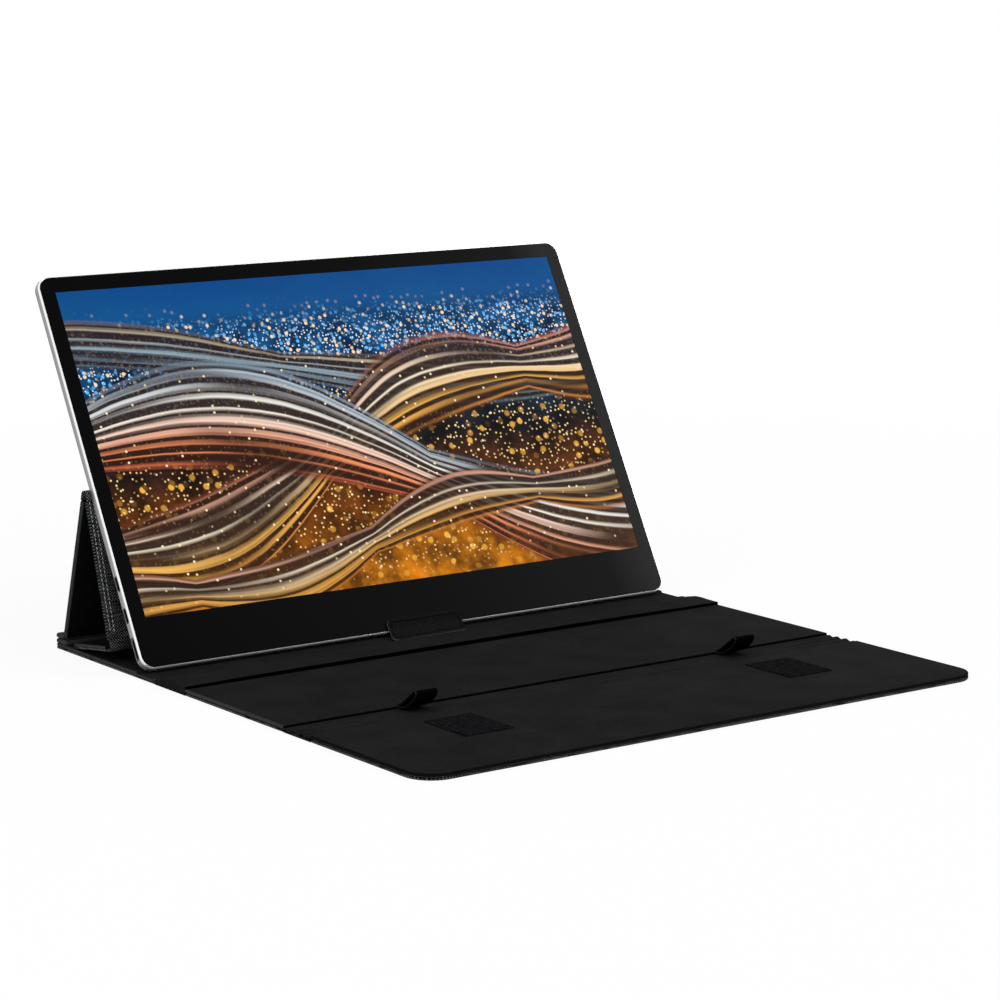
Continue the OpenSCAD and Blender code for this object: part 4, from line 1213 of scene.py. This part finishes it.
class MONITOR_OT_tab(bpy.types.Operator):
    """Makes the leather tab with its stitched edge"""

    bl_idname = "monitor.tab"
    bl_label = "Leather tab"

    drop = 1.0      # how far below the glass the leather bends, in millimetres

    def execute(self, context):
        c = trim()
        t, w = c.tab_t * MM, c.tab_w * MM
        lo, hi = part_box("leather_tab")
        self.x0 = (lo.x + hi.x) / 2 + c.tab_x * MM
        glass_foot = SEAT + OUT * face().depth * MM + UP * face().rim * MM
        outside = OUT * (c.tab_gap * MM + t)
        top = glass_foot + UP * c.tab_up * MM + outside
        bend = glass_foot - UP * self.drop * MM + outside
        toe = Vector((SEAT.y - c.tab_foot * MM, SEAT.z + t))
        path = self.rounded((Vector(top.yz), Vector(bend.yz), toe), c.tab_bend * MM, 0.5 * MM)
        arc = arc_lengths(path)
        edges = [self.sides(s, arc[-1]) for s in arc]
        tab = strip("stitched_tab", w, path, t, 72, widths=[right - left for left, right in edges],
                    centres=[(left + right) / 2 for left, right in edges], rough=0.08 * MM, side=1, edge=0.28,
                    mats=("leather", "leather edge"))
        seam = scattered("tab_stitches", self.stitch_places(path, arc), (c.seam_t * MM, c.seam_l * MM))
        for obj in (tab, seam):
            for v in obj.data.vertices:
                lying = min(1.0, max(0.0, (bend.y - v.co.y) / (bend.y - toe.x)))
                v.co.y += c.tab_slant * MM * (v.co.x - self.x0) / w * lying
            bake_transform(obj)
        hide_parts("leather_tab")
        dress(seam, "dark thread")
        return {"FINISHED"}

    def sides(self, s, total):
        """The tab's left and right edge at the distance s from its upper end."""
        c = trim()
        w, r, upper = c.tab_w * MM, c.tab_r * MM, (c.tab_up + self.drop) * MM
        lay = c.tab_lay * MM * max(0.0, s - upper) / (total - upper)
        d = min(s, total - s)
        radii = (r * 2.0, r * 0.3) if s > total / 2 else (r, r)
        cut = [q - math.sqrt(max(0, q * q - (q - d) ** 2)) if d < q else 0.0 for q in radii]
        return self.x0 - w / 2 - lay * 1.25 + cut[0], self.x0 + w / 2 - lay * 0.85 - cut[1]

    def rounded(self, corner, r, step):
        """The tab's outer line with its bend rounded, at even steps."""
        a, b, c = corner
        p, q = b + (a - b).normalized() * r, b + (c - b).normalized() * r
        fine, cells = [a, p], 12
        for i in range(1, cells):
            s = i / cells
            fine.append(p * (1 - s) ** 2 + 2 * b * s * (1 - s) + q * s * s)
        fine += [q, c]
        out, carry = [fine[0]], 0.0
        for u, v in zip(fine, fine[1:]):
            length = (v - u).length
            pos = step - carry
            while pos <= length:
                out.append(u + (v - u) * (pos / length))
                pos += step
            carry = length - (pos - step)
        if (out[-1] - fine[-1]).length > 0.01 * MM:
            out.append(fine[-1])
        return [tuple(p) for p in out]

    def stitch_places(self, path, arc):
        """Placings of the stitches round the tab, on its outer face."""
        total, inset, pitch = arc[-1], trim().seam_in * MM, trim().seam_pitch * MM
        toe_in, end_in = 1.4 * MM, 0.8 * MM
        places = []
        for s in (inset, total - inset - toe_in):
            left, right = self.sides(s, total)
            left, right = left + inset + end_in, right - inset - end_in
            count = int((right - left) / pitch)
            for i in range(count + 1):
                places.append(self.stitch_place(path, arc, left + (right - left) * i / count, s, True))
        count = int((total - 2 * inset - 2 * pitch) / pitch)
        for i in range(count + 1):
            s = inset + pitch + i * (total - 2 * inset - toe_in - 2 * pitch) / count
            left, right = self.sides(s, total)
            for x in (left + inset, right - inset):
                places.append(self.stitch_place(path, arc, x, s, False))
        return places

    def stitch_place(self, path, arc, x, s, across):
        """The placing of one stitch at x and at the distance s down the tab, lying across or along it."""
        i = max(1, next((k for k, a in enumerate(arc) if a >= s), len(arc) - 1))
        p, q = Vector(path[i - 1]), Vector(path[i])
        share = (s - arc[i - 1]) / max(TOUCH, arc[i] - arc[i - 1])
        p, d = p + (q - p) * share, (q - p).normalized()
        along = ACROSS if across else Vector((0, d.x, d.y))
        normal = Vector((0, d.y, -d.x))
        if normal.y > 0:
            normal = -normal
        m = Matrix((along.cross(normal), along, normal)).transposed().to_4x4()
        return Matrix.Translation(Vector((x, p.x, p.y)) + normal * 0.04 * MM) @ m


class MONITOR_OT_loops(bpy.types.Operator):
    """Makes the two ribbon pull loops at the middle panel's front edge"""

    bl_idname = "monitor.loops"
    bl_label = "Pull loops"

    def execute(self, context):
        # The ribbon's line from its root, out over the tip and back, in millimetres for a loop 19.6 long.
        drawn_l = 19.6
        line = [(0.0, 0.0), (2.4, 0.05), (5.0, 0.4), (7.8, 1.5), (10.4, 3.1), (12.8, 4.9), (14.9, 6.9),
                (16.3, 8.9), (16.7, 10.3), (16.0, 11.0), (14.9, 10.7), (13.2, 9.4), (10.8, 7.5), (8.0, 5.4),
                (5.2, 3.4), (2.6, 1.8), (0.3, 0.9)]
        line = self.softened(self.softened(line))
        w, t, k = trim().loop_w * MM, trim().ribbon_t * MM, trim().loop_l * MM / drawn_l
        for side in ("left", "right"):
            node = "pull_loop_" + side
            lo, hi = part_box(node)
            root = Vector(JOINT[f"loop_{side}_flex"].yz)
            path = [(root.x - k * p, root.y + k * q) for p, q in line]
            loop = strip("ribbon_loop_" + side, w, path, t, 14, x0=(lo.x + hi.x) / 2, rough=0.14 * MM, side=0,
                         edge=0.3, mats=("ribbon", "ribbon edge"))
            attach(loop, "loop_" + side)
            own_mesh(loop)
            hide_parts(node)
        return {"FINISHED"}

    def softened(self, line):
        """Cuts the corners of a line, so that it turns more gently."""
        cut = [line[0]]
        for p, q in zip(line, line[1:]):
            cut += [tuple((1 - s) * a + s * b for a, b in zip(p, q)) for s in (0.25, 0.75)]
        return cut + [line[-1]]


class MONITOR_OT_patches(bpy.types.Operator):
    """Makes the two hook pads with their bristly faces"""

    bl_idname = "monitor.patches"
    bl_label = "Hook patches"

    def execute(self, context):
        for side, seed in (("left", 11.0), ("right", 47.0)):
            node = "hook_patch_" + side
            lo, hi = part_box(node)
            w, l = hi.x - lo.x, hi.y - lo.y
            bpy.ops.object.select_all(action="DESELECT")
            bpy.ops.mesh.primitive_grid_add(x_subdivisions=92, y_subdivisions=112, size=1)
            obj = bpy.context.object
            obj.name = "hook_pad_" + side
            uv = obj.data.uv_layers.active.data
            for poly in obj.data.polygons:
                for i in poly.loop_indices:
                    co = obj.data.vertices[obj.data.loops[i].vertex_index].co
                    uv[i].uv = (co.x * w, co.y * l)
            middle = Vector(((lo.x + hi.x) / 2, (lo.y + hi.y) / 2, lo.z))
            for v in obj.data.vertices:
                v.co = middle + self.bristle(v.co.x * w, v.co.y * l, w, l, seed)
            use(obj, "SOLIDIFY", thickness=0.5 * MM, offset=-1)
            smooth(obj, 60)
            dress(obj, "hooks")
            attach(obj, "front")
            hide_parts(node)
        return {"FINISHED"}

    def bristle(self, x, y, w, l, seed):
        """Where a point of the pad ends up: raised at random, frayed and rounded off at the pad's rim."""
        def rough(scale, layer=0):
            return noise.noise(Vector((x * scale, y * scale, seed + layer)))

        rim = min(w / 2 - abs(x), l / 2 - abs(y))
        fray = abs(1.1 * MM * rough(420, 5)) if rim < 0.5 * MM else 0.0
        drop = 0.35 * max(0.0, 1 - rim / (0.8 * MM))
        height = (0.72 + rough(1500) * 0.30 + rough(500) * 0.16 - drop) * MM
        return Vector((x - math.copysign(fray, x), y * (1 - fray / (l / 2)), height))


class MONITOR_OT_stage(bpy.types.Operator):
    """Sets the white floor, the soft lights, the world and the camera"""

    bl_idname = "monitor.stage"
    bl_label = "Stage"

    def execute(self, context):
        context.scene.view_settings.view_transform = "Standard"
        self.floor(context)
        self.world(context.scene)
        self.lamps(context)
        self.camera(context)
        return {"FINISHED"}

    def floor(self, context):
        """A table that looks pure white far from the monitor and keeps its shadow near it."""
        bpy.ops.object.select_all(action="DESELECT")
        bpy.ops.mesh.primitive_plane_add(size=120, location=(0, 0, 0))
        floor = context.object
        floor.name = "floor"
        s = Shader("white table", (0.92, 0.92, 0.92), 0.9, specular=0.1)
        away = s.node("ShaderNodeVectorMath", operation="LENGTH")
        s.put(away.inputs[0], s.place.outputs["Object"])
        level = s.node("ShaderNodeMapRange")
        for key, value in {"Value": away.outputs["Value"], "From Min": 0.30, "From Max": 1.1, "To Min": 0.90,
                           "To Max": 1.0}.items():
            s.put(level.inputs[key], value)
        glow, mix = s.node("ShaderNodeEmission"), s.node("ShaderNodeMixShader")
        s.put(glow.inputs["Strength"], 1.0)
        for socket, value in zip(mix.inputs, (s.times(self.seen(s.tree), level.outputs[0]), s.bsdf.outputs[0],
                                              glow.outputs[0])):
            s.put(socket, value)
        out = next(n for n in s.tree.nodes if n.type == "OUTPUT_MATERIAL")
        s.put(out.inputs["Surface"], mix.outputs[0])
        floor.data.materials.append(s.mat)

    def world(self, scene):
        """White where it is seen, and dimmer where it only lights the piece."""
        world = scene.world or bpy.data.worlds.new("studio")
        scene.world = world
        world.use_nodes = True
        tree = world.node_tree
        tree.nodes.clear()
        kinds = ("OutputWorld", "Background", "MapRange")
        out, back, level = (tree.nodes.new("ShaderNode" + kind) for kind in kinds)
        back.inputs["Color"].default_value = (1, 1, 1, 1)
        level.inputs["To Min"].default_value = 0.55
        level.inputs["To Max"].default_value = 1.0
        tree.links.new(self.seen(tree), level.inputs["Value"])
        tree.links.new(level.outputs[0], back.inputs["Strength"])
        tree.links.new(back.outputs[0], out.inputs[0])

    def seen(self, tree):
        """1 for rays from the camera, off a mirror or through glass."""
        path = tree.nodes.new("ShaderNodeLightPath")
        total = path.outputs["Is Camera Ray"]
        for name in ("Is Glossy Ray", "Is Transmission Ray"):
            n = tree.nodes.new("ShaderNodeMath")
            n.operation = "MAXIMUM"
            tree.links.new(total, n.inputs[0])
            tree.links.new(path.outputs[name], n.inputs[1])
            total = n.outputs[0]
        return total

    def lamps(self, context):
        for name, place, aim, size, watts in (
                ("overhead softbox", (-0.3, -0.2, 1.5), (0, 0, 0.05), 1.4, 9.0),
                ("right softbox", (1.35, -0.85, 1.05), (0.1, 0.1, 0.1), 0.9, 9.0),
                ("left softbox", (-1.5, -0.1, 0.6), (0, 0, 0.08), 0.8, 3.0)):
            bpy.ops.object.light_add(type="AREA", location=place)
            lamp = context.object
            lamp.name = name
            lamp.data.size = size
            lamp.data.energy = watts
            lamp.rotation_euler = (Vector(aim) - Vector(place)).to_track_quat("-Z", "Y").to_euler()

    def camera(self, context):
        """Stands to the left in front, its place measured from the monitor's seat."""
        azimuth, elevation, roll = (math.radians(x) for x in (-36.2936, 10.0854, 0.0366))
        left, before, up = -1.014569, 1.463182, 0.395465
        z = Vector((math.sin(azimuth) * math.cos(elevation), -math.cos(azimuth) * math.cos(elevation),
                    math.sin(elevation)))
        x = Vector((0, 0, 1)).cross(z).normalized()
        y = z.cross(x)
        x, y = math.cos(roll) * x + math.sin(roll) * y, -math.sin(roll) * x + math.cos(roll) * y
        bpy.ops.object.camera_add()
        camera = context.object
        spot = Matrix.Translation((left, SEAT.y - before, up))
        camera.matrix_world = spot @ Matrix((x, y, z)).transposed().to_4x4()
        camera.data.lens = 113.886
        camera.data.sensor_width = 36
        camera.data.clip_start = 0.05
        camera.data.shift_x = 0.00111
        camera.data.shift_y = -0.00067
        context.scene.camera = camera


OPERATORS = (
    MONITOR_OT_finishes, MONITOR_OT_panels, MONITOR_OT_folds, MONITOR_OT_stitching, MONITOR_OT_tab,
    MONITOR_OT_loops, MONITOR_OT_patches, MONITOR_OT_stage,
)


class MONITOR_PT_pieces(bpy.types.Panel):
    """Lists the pieces, their sizes and their finishes"""

    bl_idname = "MONITOR_PT_pieces"
    bl_label = "Portable monitor"
    bl_space_type = "VIEW_3D"
    bl_region_type = "UI"
    bl_category = "Monitor"

    def draw(self, context):
        for op in OPERATORS:
            self.layout.operator(op.bl_idname)
        for key in GROUPS:
            group, box = getattr(context.scene, key), self.layout.box()
            for name in group.bl_rna.properties.keys():
                if name not in ("rna_type", "name"):
                    box.prop(group, name)


def register():
    for key, group in GROUPS.items():
        bpy.utils.register_class(group)
        setattr(bpy.types.Scene, key, PointerProperty(type=group))
    for cls in OPERATORS + (MONITOR_PT_pieces,):
        bpy.utils.register_class(cls)


def unregister():
    for cls in reversed(OPERATORS + (MONITOR_PT_pieces,)):
        bpy.utils.unregister_class(cls)
    for key, group in GROUPS.items():
        delattr(bpy.types.Scene, key)
        bpy.utils.unregister_class(group)


def main():
    register()
    for op in OPERATORS:
        area, name = op.bl_idname.split(".")
        getattr(getattr(bpy.ops, area), name)()


if __name__ == "__main__":
    main()
